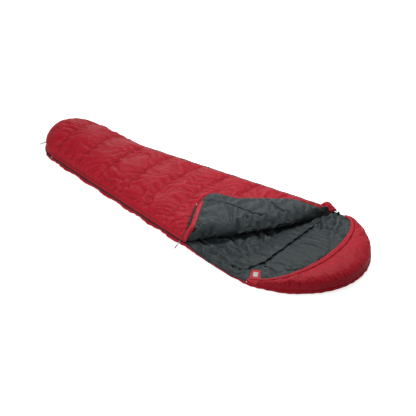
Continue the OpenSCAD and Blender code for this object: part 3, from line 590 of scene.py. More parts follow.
# ---------------------------------------------------------------- top quilt
TOP_END = 0.710
cut_x = np.linspace(0.2625, TOP_END, 60)
cut = np.column_stack([cut_x, FOLD_A[1] + (cut_x - FOLD_A[0]) * FOLD_U[1] / FOLD_U[0] + 0.006 / FOLD_U[0]])
far = far_side[far_side[:, 0] < TOP_END]
near = far[::-1] * [1, -1]
near = near[near[:, 0] < 0.262]
top_outline = np.vstack([[[TOP_END, float(half(TOP_END))]], far, near, cut])
top_seams = [np.array([[sx, -float(half(sx))], [sx, float(half(sx))]]) for sx in SEAMS] + [
    np.array([[0.245, 0.12], [0.245, float(half(0.245))]]), np.array([[0.43, 0.24], [0.43, float(half(0.43))]])]
verts2, faces, n_edge = plan_mesh(top_outline, 0.0105, top_seams)
x, y = verts2[:, 0], verts2[:, 1]
d_seam = seam_distance(verts2, top_seams)
d_edge = edge_distance(verts2, verts2[:n_edge])
inside = sat(d_edge / 0.05)
z = shell_z(x, y)
short = waves(y, x, 0.042, 90, 25, 33) * np.exp(-((d_seam - 0.018) / 0.022) ** 2)
diagonal = folds(x, y, 0.085, 28, 38, 35, 1.3)
z = z - 0.0055 * np.exp(-(d_seam / 0.014) ** 2) * inside
z = z + inside * (0.0042 * diagonal + 0.0020 * short)
end_roll = np.exp(-((x - 0.668) / 0.032) ** 2 - ((y - 0.385) / 0.040) ** 2) * sat(d_edge / 0.012)
z = z + 0.028 * end_roll
seam_line = 0.0375 + 0.62 * d_edge
far_cut = ease((x + 0.84) / 0.34) * ease(y / 0.05) * ease((0.665 - x) / 0.06)
z = np.where((z > seam_line) & (far_cut > 0), mix(z, seam_line, far_cut), z)
top_verts = np.column_stack([x, y, z])
flap_edge = np.column_stack(on_flap(*np.array([[FLAP_FROM, 0.0], *(REACH * [FOLD_LENGTH, 1]), [FLAP_TO, 0.0]]).T))
d_flap = distance_to(verts2, flap_edge)
under = in_poly(x, y, flap_edge)
near_zip = distance_to(verts2, np.column_stack(on_flap(*(REACH[:3] * [FOLD_LENGTH, 1]).T)))
pressed = under | (d_flap < 0.008) | (near_zip < 0.024)
ridge = np.exp(-((d_flap - 0.030) / 0.016) ** 2) * ~under * sat((near_zip - 0.03) / 0.03)
top_verts[:, 2] += 0.010 * ridge * inside
top_verts[:, 2] -= 0.004 * (d_flap < 0.02) * inside
pins = np.zeros(len(verts2))
pins[:n_edge] = 1
pins[(d_seam < 0.004) | pressed] = 1
top_verts = simulate(top_verts, faces, pins, grow=0.075, pressure=2.5, frames=24, cap=0.020, floor=0.008)
limit = 0.0385 + 0.66 * d_edge
top_verts[:, 2] -= np.maximum(0, top_verts[:, 2] - limit) * far_cut
edge2 = top_verts[:n_edge, :2]
out2 = outward(edge2)
ex, ey = edge2[:, 0], edge2[:, 1]
is_cut = distance_to(edge2, cut) < 0.004
is_zip = (ey < 0) & (ex > SIDE_START) & ~is_cut
hem = []
for out_far, z_far, out_zip, z_zip in ((0.0012, 0.049, 0.0035, 0.0525), (0.0014, 0.045, 0.0053, 0.0500),
                                       (0.0008, 0.0405, 0.0053, 0.0440), (-0.0015, 0.0375, 0.0047, 0.0398),
                                       (-0.006, 0.0372, 0.0030, 0.0392)):
    o = np.where(is_zip, out_zip, out_far)
    zz = np.where(is_zip, z_zip, np.minimum(z_far, top_verts[:n_edge, 2] - 0.0006 * (len(hem) + 1)))
    o = np.where(is_cut, -0.001, o)
    zz = np.where(is_cut, shell_z(ex, ey) - (0.052 - zz) * 0.3, zz)
    step = (len(hem) + 1) / 5
    is_end = (ex > 0.7085) & (ey > 0.05)
    o = np.where(is_end, 0.004 * math.sin(math.pi * min(1, step * 0.9 + 0.1)), o)
    zz = np.where(is_end, mix(top_verts[:n_edge, 2], 0.046, step), zz)
    hem.append(np.column_stack([edge2 + out2 * o[:, None], zz]))
top_verts, faces = skirt(top_verts, faces, n_edge, hem)
top_shell = new_object("top_shell_fabric", top_verts, faces, RED, body="bag", slot="shell_fabric",
                       stands_for=("top_shell", "top_insulation"))
finish_mesh(top_shell)

verts2, faces, n_edge = plan_mesh(top_outline, 0.028)
x, y = verts2[:, 0], verts2[:, 1]
z = lining_z(x, y) + 0.002 * waves(x, y, 0.09, 80, 50, 41) * sat(distance_to(verts2, top_outline) / 0.05)
top_lining = new_object("top_lining_fabric", np.column_stack([x, y, z]), [f[::-1] for f in faces], GREY,
                        body="bag", slot="lining_fabric", stands_for=("top_lining",))
finish_mesh(top_lining)

# ---------------------------------------------------------------- turned-back flap and the fold it hangs on
def flap_t(s, v):
    ends = np.clip(np.minimum(s, FLAP_TO - s + 0.040) / 0.110, 0.1, 1) ** 0.6
    return mix(0.012, 0.036, ends * bulge(v, 3)) * (1 - 0.68 * ease((s - 0.66) / 0.15))


def soft_reach(s):
    s = np.asarray(s, float)
    k = np.linspace(-0.028, 0.028, 9) * np.clip((s - 0.12) / 0.05, 0, 1)[..., None]
    return reach(s[..., None] + k).mean(-1)


def lining_reach(s):
    return soft_reach(s) - 0.042 * ease((s - 0.60) / 0.14) * ease((FLAP_TO + 0.02 - s) / 0.06)


def flap_top(s, r):
    edge = soft_reach(np.clip(s, FLAP_FROM, FLAP_TO))
    x, y = on_flap(s, r)
    return flap_low(x, y) + flap_t(s, sat((r - 0.002) / np.maximum(edge - 0.002, 0.01)))


S_END = 0.845
ROLL_OUT = np.array([
    [0.0, 5], [0.03, 9], [0.076, 22], [0.17, 46], [0.26, 60], [0.33, 66], [0.42, 70], [0.49, 74],
    [0.60, 66], [0.70, 42], [0.79, 14], [0.845, 4]]) * [1, 0.001]
CROSS = np.array([
    [0.05, 1.0], [-0.12, 0.985], [-0.34, 0.90], [-0.60, 0.74], [-0.80, 0.56], [-0.94, 0.38], [-1.0, 0.22],
    [-0.97, 0.08], [-0.84, -0.02], [-0.60, -0.05], [-0.30, -0.03], [0.07, 0.0]])


def fold_high(s):
    inner = flap_top(np.clip(s, FLAP_FROM, FLAP_TO), 0.002)
    x, y = on_flap(s, -0.004)
    plain = shell_z(x, y) + 0.003
    k = ease((s - 0.0) / FLAP_FROM) * ease((S_END - 0.004 - s) / (S_END - FLAP_TO))
    return mix(mix(plain, inner, k), lining_z(x, y) + 0.012, 0.85 * ease((s - 0.765) / (S_END - 0.765)))


def fold_low(s):
    x, y = on_flap(s, 0.006)
    return lining_z(x, y)


def roll_place(s, u):
    """A point of the rolled fold: u runs from 0 at the flap's side to 1 at the lining inside the bag."""
    n = np.linspace(0, 1, len(CROSS))
    rr, zz = np.interp(u, n, CROSS[:, 0]), np.interp(u, n, CROSS[:, 1])
    out = np.interp(s, ROLL_OUT[:, 0], ROLL_OUT[:, 1])
    r = np.where(rr > 0, rr * 0.07, rr * out)
    hi, lo = fold_high(s), fold_low(s)
    x, y = on_flap(s, r)
    return np.column_stack([x, y, lo + (hi - lo) * zz])


def roll_length(s):
    out = np.interp(s, ROLL_OUT[:, 0], ROLL_OUT[:, 1])
    return 1.9 * out + 0.9 * (fold_high(s) - fold_low(s))


s_low = np.linspace(0.0, S_END, 110)
s_high = np.linspace(FLAP_TO, FLAP_FROM, 110)
flap_outline = np.vstack([
    np.column_stack([s_low, -roll_length(s_low)]), [[S_END, 0.0]],
    np.column_stack([s_high, np.maximum(0.003, lining_reach(s_high) - 0.001)]), [[FLAP_FROM, 0.0]], [[0.0, 0.0]]])


def to_sr(pts):
    return np.column_stack(fold_sr(*np.asarray(pts, float).T))


lining_seams = [
    to_sr([[0.150, -0.100], [0.230, -0.066], [0.304, -0.046], [0.404, -0.038], [0.506, -0.023], [0.600, -0.012]]),
    np.array([[0.352, 0.0], [0.352, -0.06]]),
    to_sr([[0.47, 0.125], [0.56, 0.095], [0.655, 0.065]])]
hinge_line = np.array([[0.0, 0.0], [S_END, 0.0]])
sq, faces, n_edge = plan_mesh(flap_outline, 0.0070, [hinge_line] + lining_seams)
s, q = sq[:, 0], sq[:, 1]
span = roll_length(s)
roll_xyz = roll_place(s, sat(-q / span))
roll_xyz[:, 2] -= 0.013 * ease((0.066 - s) / 0.02) * sat(1 + q / span * 2)
fx, fy = on_flap(s, q + 0.002 * (q >= 0))
flat_xyz = np.column_stack([fx, fy, flap_top(s, q + 0.002)])
lin = np.where((q >= 0)[:, None], flat_xyz, roll_xyz)
d_seam = seam_distance(sq, lining_seams)
d_edge = edge_distance(sq, flap_outline)
inside = sat(d_edge / 0.04)
lin[:, 2] += np.where(q > -0.03, -0.010 * np.exp(-(d_seam / 0.008) ** 2) * inside, 0)
zip_line = np.array([[REACH[0, 0] * FOLD_LENGTH, REACH[0, 1]], [REACH[2, 0] * FOLD_LENGTH, REACH[2, 1]]])
ZIP_CLEAR, ZIP_HELD = 0.021, 0.030
CORNER_S, CORNER_Q = 0.064, -0.017
calm = sat((distance_to(sq, zip_line) - 0.028) / 0.02)
lin[:, 2] += calm * inside * 0.0016 * (waves(s, q, 0.05, 70, 35, 51) + waves(s, q, 0.07, 20, 30, 52))
pins = np.zeros(len(sq))
pins[:n_edge] = 1
pins[(d_seam < 0.003)] = 1
pins[(distance_to(sq, zip_line) < ZIP_HELD) & (q > -0.002)] = 1
pins[(s < 0.05) | (s > S_END - 0.02)] = 1
lin = simulate(lin, faces, pins, grow=0.065, pressure=1.8, frames=24,
               cap=mix(0.009, 0.016, ease((q + 0.05) / 0.06)), floor=0.007)
mid = sq[np.asarray(faces)].mean(1)


def part_of(keep):
    """The points and faces of the faces kept."""
    used = sorted({i for f, k in zip(faces, keep) for i in f if k})
    back = {v: i for i, v in enumerate(used)}
    return lin[used], [tuple(back[i] for i in f) for f, k in zip(faces, keep) if k]


v1, f1 = part_of((mid[:, 1] > 0) & ~((distance_to(mid, zip_line) < ZIP_CLEAR) & (mid[:, 0] < zip_line[1, 0])))
flap_lining = new_object("flap_lining_fabric", v1, f1, GREY, body="flap", slot="lining_fabric",
                         stands_for=("flap_lining", "flap_insulation"))
finish_mesh(flap_lining)
v2, f2 = part_of((mid[:, 1] <= 0) & ~((mid[:, 0] < CORNER_S) & (mid[:, 1] > CORNER_Q)))
fold_roll = new_object("fold_roll_fabric", v2, f2, GREY, slot="lining_fabric")
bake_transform(fold_roll)
finish_mesh(fold_roll)

# the flap's outer fabric: its rounded side and its underside
flap_pts = resample(np.vstack([
    np.column_stack([s_high, soft_reach(s_high)]),
    [[FLAP_FROM, 0.002]], [[FLAP_TO, 0.002]]]), 0.008, closed=True)
near_fold = flap_pts[:, 1] < 0.004
fx, fy = on_flap(flap_pts[:, 0], flap_pts[:, 1])
ring_xy = np.column_stack([fx, fy])
t_out = outward(ring_xy)
top_z = flap_top(flap_pts[:, 0], flap_pts[:, 1])
low_z = flap_low(fx, fy)
rows = []
wrap = soft_reach(flap_pts[:, 0]) - lining_reach(flap_pts[:, 0])
wrap = np.where(near_fold, 0, wrap)
for share, up in ((1.0, -0.002), (0.85, 0.005), (0.55, 0.011), (0.22, 0.008)):
    fx2, fy2 = on_flap(flap_pts[:, 0], flap_pts[:, 1] - wrap * share - 0.003)
    top2 = flap_top(flap_pts[:, 0], flap_pts[:, 1] - wrap * share - 0.003)
    crimp = 1 + 0.25 * ripple(flap_pts[:, 0], 0.03, 57, 5)
    lifted = np.where(near_fold, low_z + 0.3 * (top_z - low_z),
                      top2 - 0.0015 + (up + 0.0015) * crimp * wrap / 0.042)
    edge_xy = np.where(near_fold[:, None], ring_xy - t_out * 0.012, np.column_stack([fx2, fy2]))
    rows.append(np.column_stack([edge_xy, lifted]))
for o, k in ((-0.003, 0.99), (0.0012, 0.93), (0.003, 0.70), (0.003, 0.38), (0.001, 0.10), (-0.004, 0.0)):
    o = np.where(near_fold, -0.012, o)
    k = np.where(near_fold, k * 0.3, k)
    rows.append(np.column_stack([ring_xy + t_out * o[:, None], mix(low_z, top_z, k)]))
under, under_faces, n_under = plan_mesh(ring_xy, 0.012)
under_s, under_r = fold_sr(under[:, 0], under[:, 1])
under_in = sat(edge_distance(under, under[:n_under]) / 0.03)
under_z = flap_low(under[:, 0], under[:, 1])
under_z += under_in * (0.0022 * (1 + waves(under_s, under_r, 0.06, 60, 40, 58)))
for seam_s in (0.25, 0.50):
    under_z += under_in * 0.005 * np.exp(-((under_s - seam_s) / 0.012) ** 2)
rows = np.asarray(rows)
base = rows.shape[0] * rows.shape[1]
shell_faces = grid_faces(rows.shape[0], rows.shape[1], True)
shell_faces += [tuple(base + i for i in f[::-1]) for f in under_faces]
flap_shell = new_object("flap_shell_fabric", np.vstack([rows.reshape(-1, 3), np.column_stack([under, under_z])]),
                        shell_faces, RED, body="flap", slot="shell_fabric", stands_for=("flap_shell",))
finish_mesh(flap_shell)

# facing, tape and coil along the flap's zip edge
edge_a = np.array(on_flap(*zip_line[0]))
edge_b = np.array(on_flap(*zip_line[1]))
EDGE_DIR = (edge_b - edge_a) / np.linalg.norm(edge_b - edge_a)
EDGE_OUT = np.array([-EDGE_DIR[1], EDGE_DIR[0]])
ts = np.linspace(0, 1, 40)
fs, fr = mix(zip_line[0, 0], zip_line[1, 0], ts), mix(zip_line[0, 1], zip_line[1, 1], ts)
lift_edge = 0.55 * (1 - ease((ts - 0.62) / 0.38))
STRIP_S, STRIP_R, STRIP_W = 0.8747, 0.4847, 0.0262
inner_z = flap_top(fs + STRIP_S * STRIP_W, np.maximum(fr - STRIP_R * STRIP_W, 0.0035))
facing_rows = []
for w, up in ((-0.0006, -0.0140), (-0.0014, -0.0030), (-0.0010, 0.0016), (0.0012, 0.0036), (0.008, 0.0040),
              (0.016, 0.0040), (0.023, 0.0040), (STRIP_W, 0.0032), (0.0268, 0.0008)):
    s_here, r = fs + STRIP_S * w, np.maximum(fr - STRIP_R * w, 0.0035)
    x, y = on_flap(s_here, r)
    plain = flap_top(s_here, r)
    raised = np.maximum(plain, mix(plain, inner_z, lift_edge))
    facing_rows.append(np.column_stack([x, y, raised + up + 0.0004 * np.sin(ts * 41 + w * 900) * (w > 0.004)]))
facing = loft("flap_facing_fabric", facing_rows, RED_TRIM, body="flap", slot="shell_fabric",
              stands_for=("flap_facing",))
finish_mesh(facing)
c = edge_a + (edge_b - edge_a) * ts[:, None]
edge_lift = np.maximum(0, lift_edge * (inner_z - flap_top(fs, fr))) + 0.0040 * lift_edge
tape_rows = []
for w, up in ((-0.001, 0.0046), (0.0015, 0.0050), (0.006, 0.0050), (0.011, 0.0046), (0.0155, 0.0042),
              (0.0158, 0.0036), (0.011, 0.0036), (0.0, 0.0034)):
    tape_z = flap_low(c[:, 0], c[:, 1]) + up + edge_lift + 0.0005 * np.sin(ts * 23)
    tape_rows.append(np.column_stack([c + EDGE_OUT * w, tape_z]))
loft("flap_zip_tape_fabric", tape_rows, BLACK_TAPE, body="flap", slot="zip_tape_fabric",
     stands_for=("flap_zip_tape",))


LINK_PITCH = 0.0030


def teeth(name, path, radius, body, slot, stands_for):
    """A coil zip's row: short fat links side by side along the path."""
    path = resample(path, LINK_PITCH)
    t = tangents(path)
    verts, faces = [], []
    sides = 6
    a = np.arange(sides) * 2 * math.pi / sides
    for p, d in zip(path, t):
        side = np.cross(d, (0, 0, 1))
        side /= np.linalg.norm(side)
        top = np.cross(side, d)
        for k, r in ((-0.44, 0.72), (-0.2, 1.0), (0.2, 1.0), (0.44, 0.72)):
            c = p + d * k * LINK_PITCH
            ring_at = c + radius * r * (np.cos(a)[:, None] * side + np.sin(a)[:, None] * top)
            verts.append(ring_at)
        base = (len(verts) - 4) * sides
        faces += grid_faces(4, sides, True, base)
        faces += [tuple(base + i for i in range(sides))[::-1], tuple(base + 3 * sides + i for i in range(sides))]
    return new_object(name, np.vstack(verts), faces, BLACK_NYLON, body=body, slot=slot, stands_for=stands_for)


COIL_OUT = 0.0144
coil_path = np.column_stack([c + EDGE_OUT * COIL_OUT, flap_low(c[:, 0], c[:, 1]) + 0.0062 + edge_lift])
teeth("flap_zip_coil_links", coil_path, 0.0016, "flap", "coil_nylon", ("flap_zip_coil",))

# the flap's lower corner: tape and facing turn over between the slider and the flap
j = np.linspace(0, 1, 22)


def rail(points):
    p = np.asarray(points, float)
    n = np.linspace(0, 1, len(p))
    smooth = np.stack([np.interp(j, n, p[:, k]) for k in range(3)], 1)
    for _ in range(3):
        smooth[1:-1] = (smooth[:-2] + 2 * smooth[1:-1] + smooth[2:]) / 4
    return smooth


end_top = float(flap_low(*edge_a)) + float(edge_lift[0])
coil_rail = rail([[0.2385, -0.3732, 0.0368], [0.2350, -0.3700, 0.0520], [0.2330, -0.3610, 0.0680],
                  [0.2350, -0.3470, 0.0850], [0.2385, -0.3360, 0.0950],
                  [*(edge_a + EDGE_OUT * COIL_OUT), end_top + 0.0058]])
seam_rail = rail([[0.2400, -0.3705, 0.0500], [0.2420, -0.3680, 0.0600], [0.2430, -0.3580, 0.0760],
                  [0.2460, -0.3440, 0.0905], [0.2500, -0.3330, 0.0990], [*edge_a, end_top + 0.0046]])
CORNER_TO = FLAP_FROM + STRIP_S * STRIP_W
s6 = np.linspace(0.0, CORNER_TO, 8)
fold_pts = [[0.2415, -0.3690, 0.0480]]
for v in s6:
    x, y = on_flap(v, mix(-0.004, 0.0035, ease((v / CORNER_TO - 0.55) / 0.45)))
    fold_pts.append([x, y, float(fold_high(v)) + 0.002])
fold_rail = rail(fold_pts)
facing_start = np.array([row[1] for row in facing_rows[3:8]])
cols = []
for k in np.linspace(0, 1, 9):
    row = seam_rail * (1 - k) + fold_rail * k
    row[:, 2] += 0.004 + 0.017 * math.sin(math.pi * k) * np.sin(math.pi * 0.5 * j) ** 0.7
    share = np.linspace(0, 1, len(facing_start))
    meets = np.array([np.interp(k, share, facing_start[:, m]) for m in range(3)]) + [0, 0, 0.0016]
    row += (meets - row[-1]) * (j ** 3)[:, None]
    cols.append(row)
turned_in = fold_rail + [0.0, 0.0, -0.014]
corner = loft("corner_facing_fabric", cols + [turned_in], RED_TRIM, slot="shell_fabric")
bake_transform(corner)
finish_mesh(corner)
tape_turn = [coil_rail, mix(coil_rail, seam_rail, 0.35), mix(coil_rail, seam_rail, 0.7),
             seam_rail + [0, 0, 0.0006]]
corner_tape = loft("corner_zip_tape_fabric", tape_turn, BLACK_TAPE, slot="zip_tape_fabric")
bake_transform(corner_tape)
finish_mesh(corner_tape)
links = teeth("corner_zip_coil_links", coil_rail, 0.0016, None, "coil_nylon", ())
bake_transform(links)

# ---------------------------------------------------------------- hood
HOOD_X, HOOD_SPAN, IN_X, IN_Y = 0.770, 0.3795, 0.200, 0.400012


def hood_outer(a):
    x = HOOD_X + HOOD_SPAN * np.cos(a)
    return np.stack([x, np.sign(a) * half(x)], -1)


def hood_inner(a):
    return np.stack([HOOD_X + IN_X * np.cos(a), IN_Y * np.sin(a)], -1)


def hood_crest(a):
    return mix(0.048, 0.102, np.clip(np.cos(a), 0, 1) ** 0.8)


def hood_z(a, v):
    rise = mix(0.046, hood_crest(a), swell(v / 0.6, 2.2))
    return np.where(v < 0.6, rise, hood_crest(a) - 0.009 * ((v - 0.6) / 0.4) ** 2 * np.cos(a))


TURN = math.radians(86)
ang = np.linspace(-1, 1, 190)
ang = TURN * np.sign(ang) * np.abs(ang) ** 0.85
across = np.concatenate([np.linspace(0, 0.3, 10), np.linspace(0.34, 0.86, 13),
                         [0.880, 0.891, 0.90, 0.909, 0.920, 0.940, 0.970, 1.0]])
A, V = np.meshgrid(ang, across, indexing="ij")
OUTER, INNER = hood_outer(A), hood_inner(A)
P = OUTER * (1 - V[..., None]) + INNER * V[..., None]
Z = hood_z(A, V)
gather = waves(A * 0.9, V * 0.12, 0.055, 90, 10, 61, 10) * np.exp(-((V - 0.10) / 0.16) ** 2)
right_side = ease((A + 0.85) / 0.35) * ease((0.40 - A) / 0.45) * (0.55 + 0.45 * ripple(A, 0.35, 65, 4))
small = waves(P[..., 0], P[..., 1], 0.10, 40, 60, 63)
seam_v = 0.90
Z = Z + 0.0046 * gather * (0.10 + 0.90 * right_side) * (V > 0.01) + 0.0008 * small * np.sin(np.pi * V)
Z = Z - 0.0085 * np.exp(-((V - seam_v) / 0.016) ** 2) * sat((TURN - np.abs(A)) / 0.15)
hood_v = np.concatenate([P, Z[..., None]], -1).reshape(-1, 3)
na, nv = A.shape
pins = border(na, nv)
pins[:, np.argmin(np.abs(across - seam_v))] = 1
hood_v = simulate(hood_v, sheet_faces(na, nv), pins.reshape(-1), grow=0.032, pressure=1.8, frames=20,
                  cap=0.009, floor=0.008)
hood_grid = hood_v.reshape(na, nv, 3)
edge_dir = hood_outer(ang) - hood_inner(ang)
edge_dir /= np.linalg.norm(edge_dir, axis=1)[:, None]
hem = []
for o, z in ((-0.004, 0.0310), (0.0010, 0.0316), (0.0022, 0.0370), (0.0020, 0.0420)):
    hem.append(np.column_stack([hood_outer(ang) + edge_dir * o, np.full(na, z)]))
brim = [np.column_stack([hood_inner(ang) - edge_dir * o, hood_grid[:, -1, 2] - d])
        for o, d in ((0.0040, 0.0015), (0.0062, 0.0055))]
rows = hem + [hood_grid[:, k] for k in range(nv)] + brim
hood_shell = loft("hood_shell_fabric", rows, RED, body="bag", slot="shell_fabric",
                  stands_for=("hood_shell", "hood_insulation"))
finish_mesh(hood_shell)

chan_a = math.radians(84) * np.linspace(-1, 1, 230)
off = 0.0061
chan = np.column_stack([HOOD_X + (IN_X - off) * np.cos(chan_a), (IN_Y - off) * np.sin(chan_a),
                        hood_z(chan_a, np.ones(230)) - 0.0045])
pucker = 1 + 0.10 * np.sin(chan_a * 95) * 0.6 + 0.07 * ripple(chan_a, 0.08, 71)
tube("hood_channel_fabric", chan, 0.0055 * pucker, RED_TRIM, sides=12, body="bag", slot="shell_fabric",
     stands_for=("hood_edge_channel", "hood_drawcord"))

lin_a = TURN * np.linspace(-1, 1, 260)
o, i = hood_outer(lin_a), hood_inner(lin_a)
pleat = ripple(lin_a, 0.13, 81, 8) * (0.55 + 0.45 * ripple(lin_a, 0.31, 83, 4))
far_k = ease((lin_a - 0.35) / 0.5)
inward = (i - o) / np.linalg.norm(i - o, axis=1)[:, None]
inward = mix(inward, np.array([-0.45, -0.89]), (0.6 * far_k)[:, None])
rows = []
for t, drop, step in ((0.97, 0.0, -0.004), (0.93, 0.20, 0.006), (0.85, 0.46, 0.020), (0.76, 0.70, 0.038),
                      (0.66, 0.88, 0.056), (0.55, 1.0, 0.078)):
    beneath = o * (1 - t) + i * t
    slope = i + inward * step
    amp = math.sin(math.pi * min(1, drop * 0.8 + 0.12))
    slope = slope + np.array([0.97, -0.2]) * (pleat * amp * 0.006)[:, None]
    p = mix(beneath, slope, far_k[:, None])
    top = hood_z(lin_a, np.ones(260)) - mix(0.010, 0.006, far_k)
    low = bottom_z(p[:, 0], p[:, 1]) + 0.003 + 0.004 * far_k
    p = p + inward * (pleat * amp * 0.0065)[:, None]
    z = mix(top, low, drop) + far_k * amp * 0.006 * (pleat + 0.4)
    rows.append(np.column_stack([p, z]))
hood_lining = loft("hood_lining_fabric", rows, GREY, body="bag", slot="lining_fabric", stands_for=("hood_lining",))
finish_mesh(hood_lining)

# ---------------------------------------------------------------- draft collar and head panel
COLLAR_TO, COLLAR_W = 0.714, 0.112
COLLAR_HALF = float(half(SHOULDER_X)) - 0.062
ce = np.linspace(-1, 0.86, 120)
profile = np.array([[0, 0.05], [0.06, 0.14], [0.18, 0.34], [0.35, 0.55], [0.52, 0.72], [0.7, 0.87],
                    [0.84, 0.98], [0.93, 1.0], [0.98, 0.86], [1.0, 0.62], [0.985, 0.25], [0.955, 0.0]])
steps = np.linspace(0, 1, len(profile))
rows = []
crimp = ripple(ce, 0.16, 91, 8)
for k in np.linspace(0, 1, 26):
    p0, h = np.interp(k, steps, profile[:, 0]), np.interp(k, steps, profile[:, 1])
    y = ce * COLLAR_HALF
    notch = 0.036 * sat((-ce - 0.7) / 0.23)
    x = COLLAR_TO - notch - COLLAR_W * (1 - p0) + 0.0016 * crimp * (p0 > 0.8)
    pucker_here = waves(x, y, 0.055, 75, 35, 93, 8) * math.sin(math.pi * k)
    lift = (np.maximum(0.001, 0.016 * h * bulge(ce, 4)) + 0.0018 * crimp * math.sin(math.pi * min(p0, 0.98))
            + 0.0013 * pucker_here)
    rows.append(np.column_stack([x, y, bottom_z(x, y) + 0.0022 + np.maximum(lift, 0.0004)]))
rows = np.array(rows)
held_rows = border(*rows.shape[:2])
held_rows[21:23] = 1
collar_faces = [f[::-1] for f in grid_faces(*rows.shape[:2])]
rows = simulate(rows.reshape(-1, 3), collar_faces, held_rows.reshape(-1), grow=0.06, pressure=1.2, frames=18,
                cap=0.008, floor=0.003).reshape(rows.shape)
collar = loft("draft_collar_fabric", rows, GREY, body="bag", slot="lining_fabric", stands_for=("draft_collar",))
finish_mesh(collar)

u = np.linspace(0, 0.975, 44)
w = np.linspace(-1, 1, 90)
U, W = np.meshgrid(u, w, indexing="ij")
px = 0.718 + U * 0.208
py = -0.034 + W * 0.238 * np.sqrt(1 - U ** 2)
pz = 0.0444 - 0.004 * (1 - ease(U / 0.10)) + 0.003 + 0.0075 * bulge(W, 3) * bulge(U, 3) * ease(U / 0.10)
across_wrinkle = waves(px, py, 0.026, 22, 12, 101, 10)
edge_soft = sat((1 - np.abs(W)) / 0.1) * sat((1 - U) / 0.08) * sat(U / 0.03)
pz = pz + 0.0020 * across_wrinkle * edge_soft
panel_v = np.stack([px, py, pz], -1).reshape(-1, 3)
nu, nw = U.shape
panel_f = sheet_faces(nu, nw)
panel_v = simulate(panel_v, panel_f, border(nu, nw).reshape(-1), grow=0.05, pressure=0.8, frames=16, cap=0.006,
                   floor=0.002)
panel = new_object("hood_centre_panel_fabric", panel_v, panel_f, GREY, body="bag", slot="lining_fabric",
                   stands_for=("hood_centre_panel",))
finish_mesh(panel)

# ---------------------------------------------------------------- zip, piping and trim
tab_o = np.array([0.765, -0.396936, 0.0435])
tab_u, tab_v = np.array([-0.544639, 0.838671]), np.array([0.838671, 0.544639])
ZT = np.array([0.990808, -0.135272])
ZO = np.array([-0.135272, -0.990808])
Z0 = np.array([0.230, -0.366563])


def zip_point(t, out, z):
    t, out, z = np.broadcast_arrays(np.asarray(t, float), np.asarray(out, float), np.asarray(z, float))
    p = Z0 + t[..., None] * ZT + out[..., None] * ZO
    return np.column_stack([p, z])


zt = np.linspace(-1.211, 0.0065, 300)
sway = 0.0005 * np.sin(zt * 31) + 0.0004 * np.sin(zt * 77 + 1)
for side, which in ((1, "top"), (-1, "bottom")):
    rows = []
    for o, h in ((0.0005, 0.0178), (0.0026, 0.0176), (0.0038, 0.0150), (0.0041, 0.0090), (0.0042, 0.0035),
                 (0.0040, 0.0018), (0.0034, 0.0020), (0.0030, 0.0120)):
        rows.append(zip_point(zt, o, ZIP_Z + side * (h + sway * (h > 0.003))))
    loft("zip_tape_" + which + "_fabric", rows, BLACK_TAPE, body="bag", slot="zip_tape_fabric",
         stands_for=("zip_tape_" + which,))
    teeth("zip_coil_" + which + "_links", zip_point(zt, 0.0056, ZIP_Z + side * 0.0028), 0.00150, "bag", "coil_nylon",
          ("zip_coil_" + which,))

ox = np.linspace(0.262, 0.724, 110)
oy = -half(ox)
tan = np.gradient(np.column_stack([ox, oy]), axis=0)
tan /= np.linalg.norm(tan, axis=1)[:, None]
onorm = np.column_stack([tan[:, 1], -tan[:, 0]])
drop = EDGE_DROP * drop_here(ox)
wav = 0.0007 * ripple(ox, 0.08, 111, 6)


def open_row(out, z):
    return np.column_stack([np.column_stack([ox, oy]) + onorm * (out + wav)[:, None], z - drop])


rows = [open_row(o, h) for o, h in ((-0.0045, 0.0330), (-0.001, 0.0332), (0.0010, 0.0318), (0.0014, 0.0260),
                                    (0.0012, 0.0180), (0.0004, 0.0170))]
loft("zip_tape_open_fabric", rows, BLACK_TAPE, body="bag", slot="zip_tape_fabric", stands_for=("zip_tape_open",))
teeth("zip_coil_open_links", open_row(0.0033, 0.0312), 0.00155, "bag", "coil_nylon", ("zip_coil_open",))

# red fabric between the tab's root and the edge
gus = []
for k in np.linspace(0, 1, 9):
    w = np.linspace(-0.040, 0.036, 26)
    root = tab_o[:2] + tab_u * mix(-0.026, 0.010, k) + tab_v * w[:, None]
    px_, py_ = root[:, 0], root[:, 1]
    rim = -half(px_) - 0.0012
    py_ = np.maximum(py_, rim)
    zz = mix(0.0325, 0.0432, ease(k / 0.8)) + 0.0008 * np.sin(w * 210 + k * 4) * math.sin(math.pi * k)
    zz = zz - 0.006 * np.abs(w / 0.042) ** 4 * k
    gus.append(np.column_stack([px_, py_, zz]))
gusset = loft("tab_root_fabric", gus, RED_TRIM, body="bag", slot="shell_fabric")
finish_mesh(gusset)

# corded piping in the side seam
far_keep = (OUTLINE[:, 1] > 0) & (OUTLINE[:, 0] < 0.712)
near_keep = (OUTLINE[:, 1] <= 0) & (OUTLINE[:, 0] < -0.986)
path = np.vstack([ring(0.0046, ZIP_Z + 0.0016)[far_keep], ring(0.0034, ZIP_Z)[near_keep]])
path = resample(path, 0.010)
path[:, 2] += 0.0009 * np.sin(path[:, 0] * 33) + 0.0006 * np.sin(path[:, 0] * 71)
tube("side_piping_fabric", path, 0.0040, TRIM_BLACK, sides=8, body="bag", slot="trim_fabric",
     stands_for=("side_piping",))

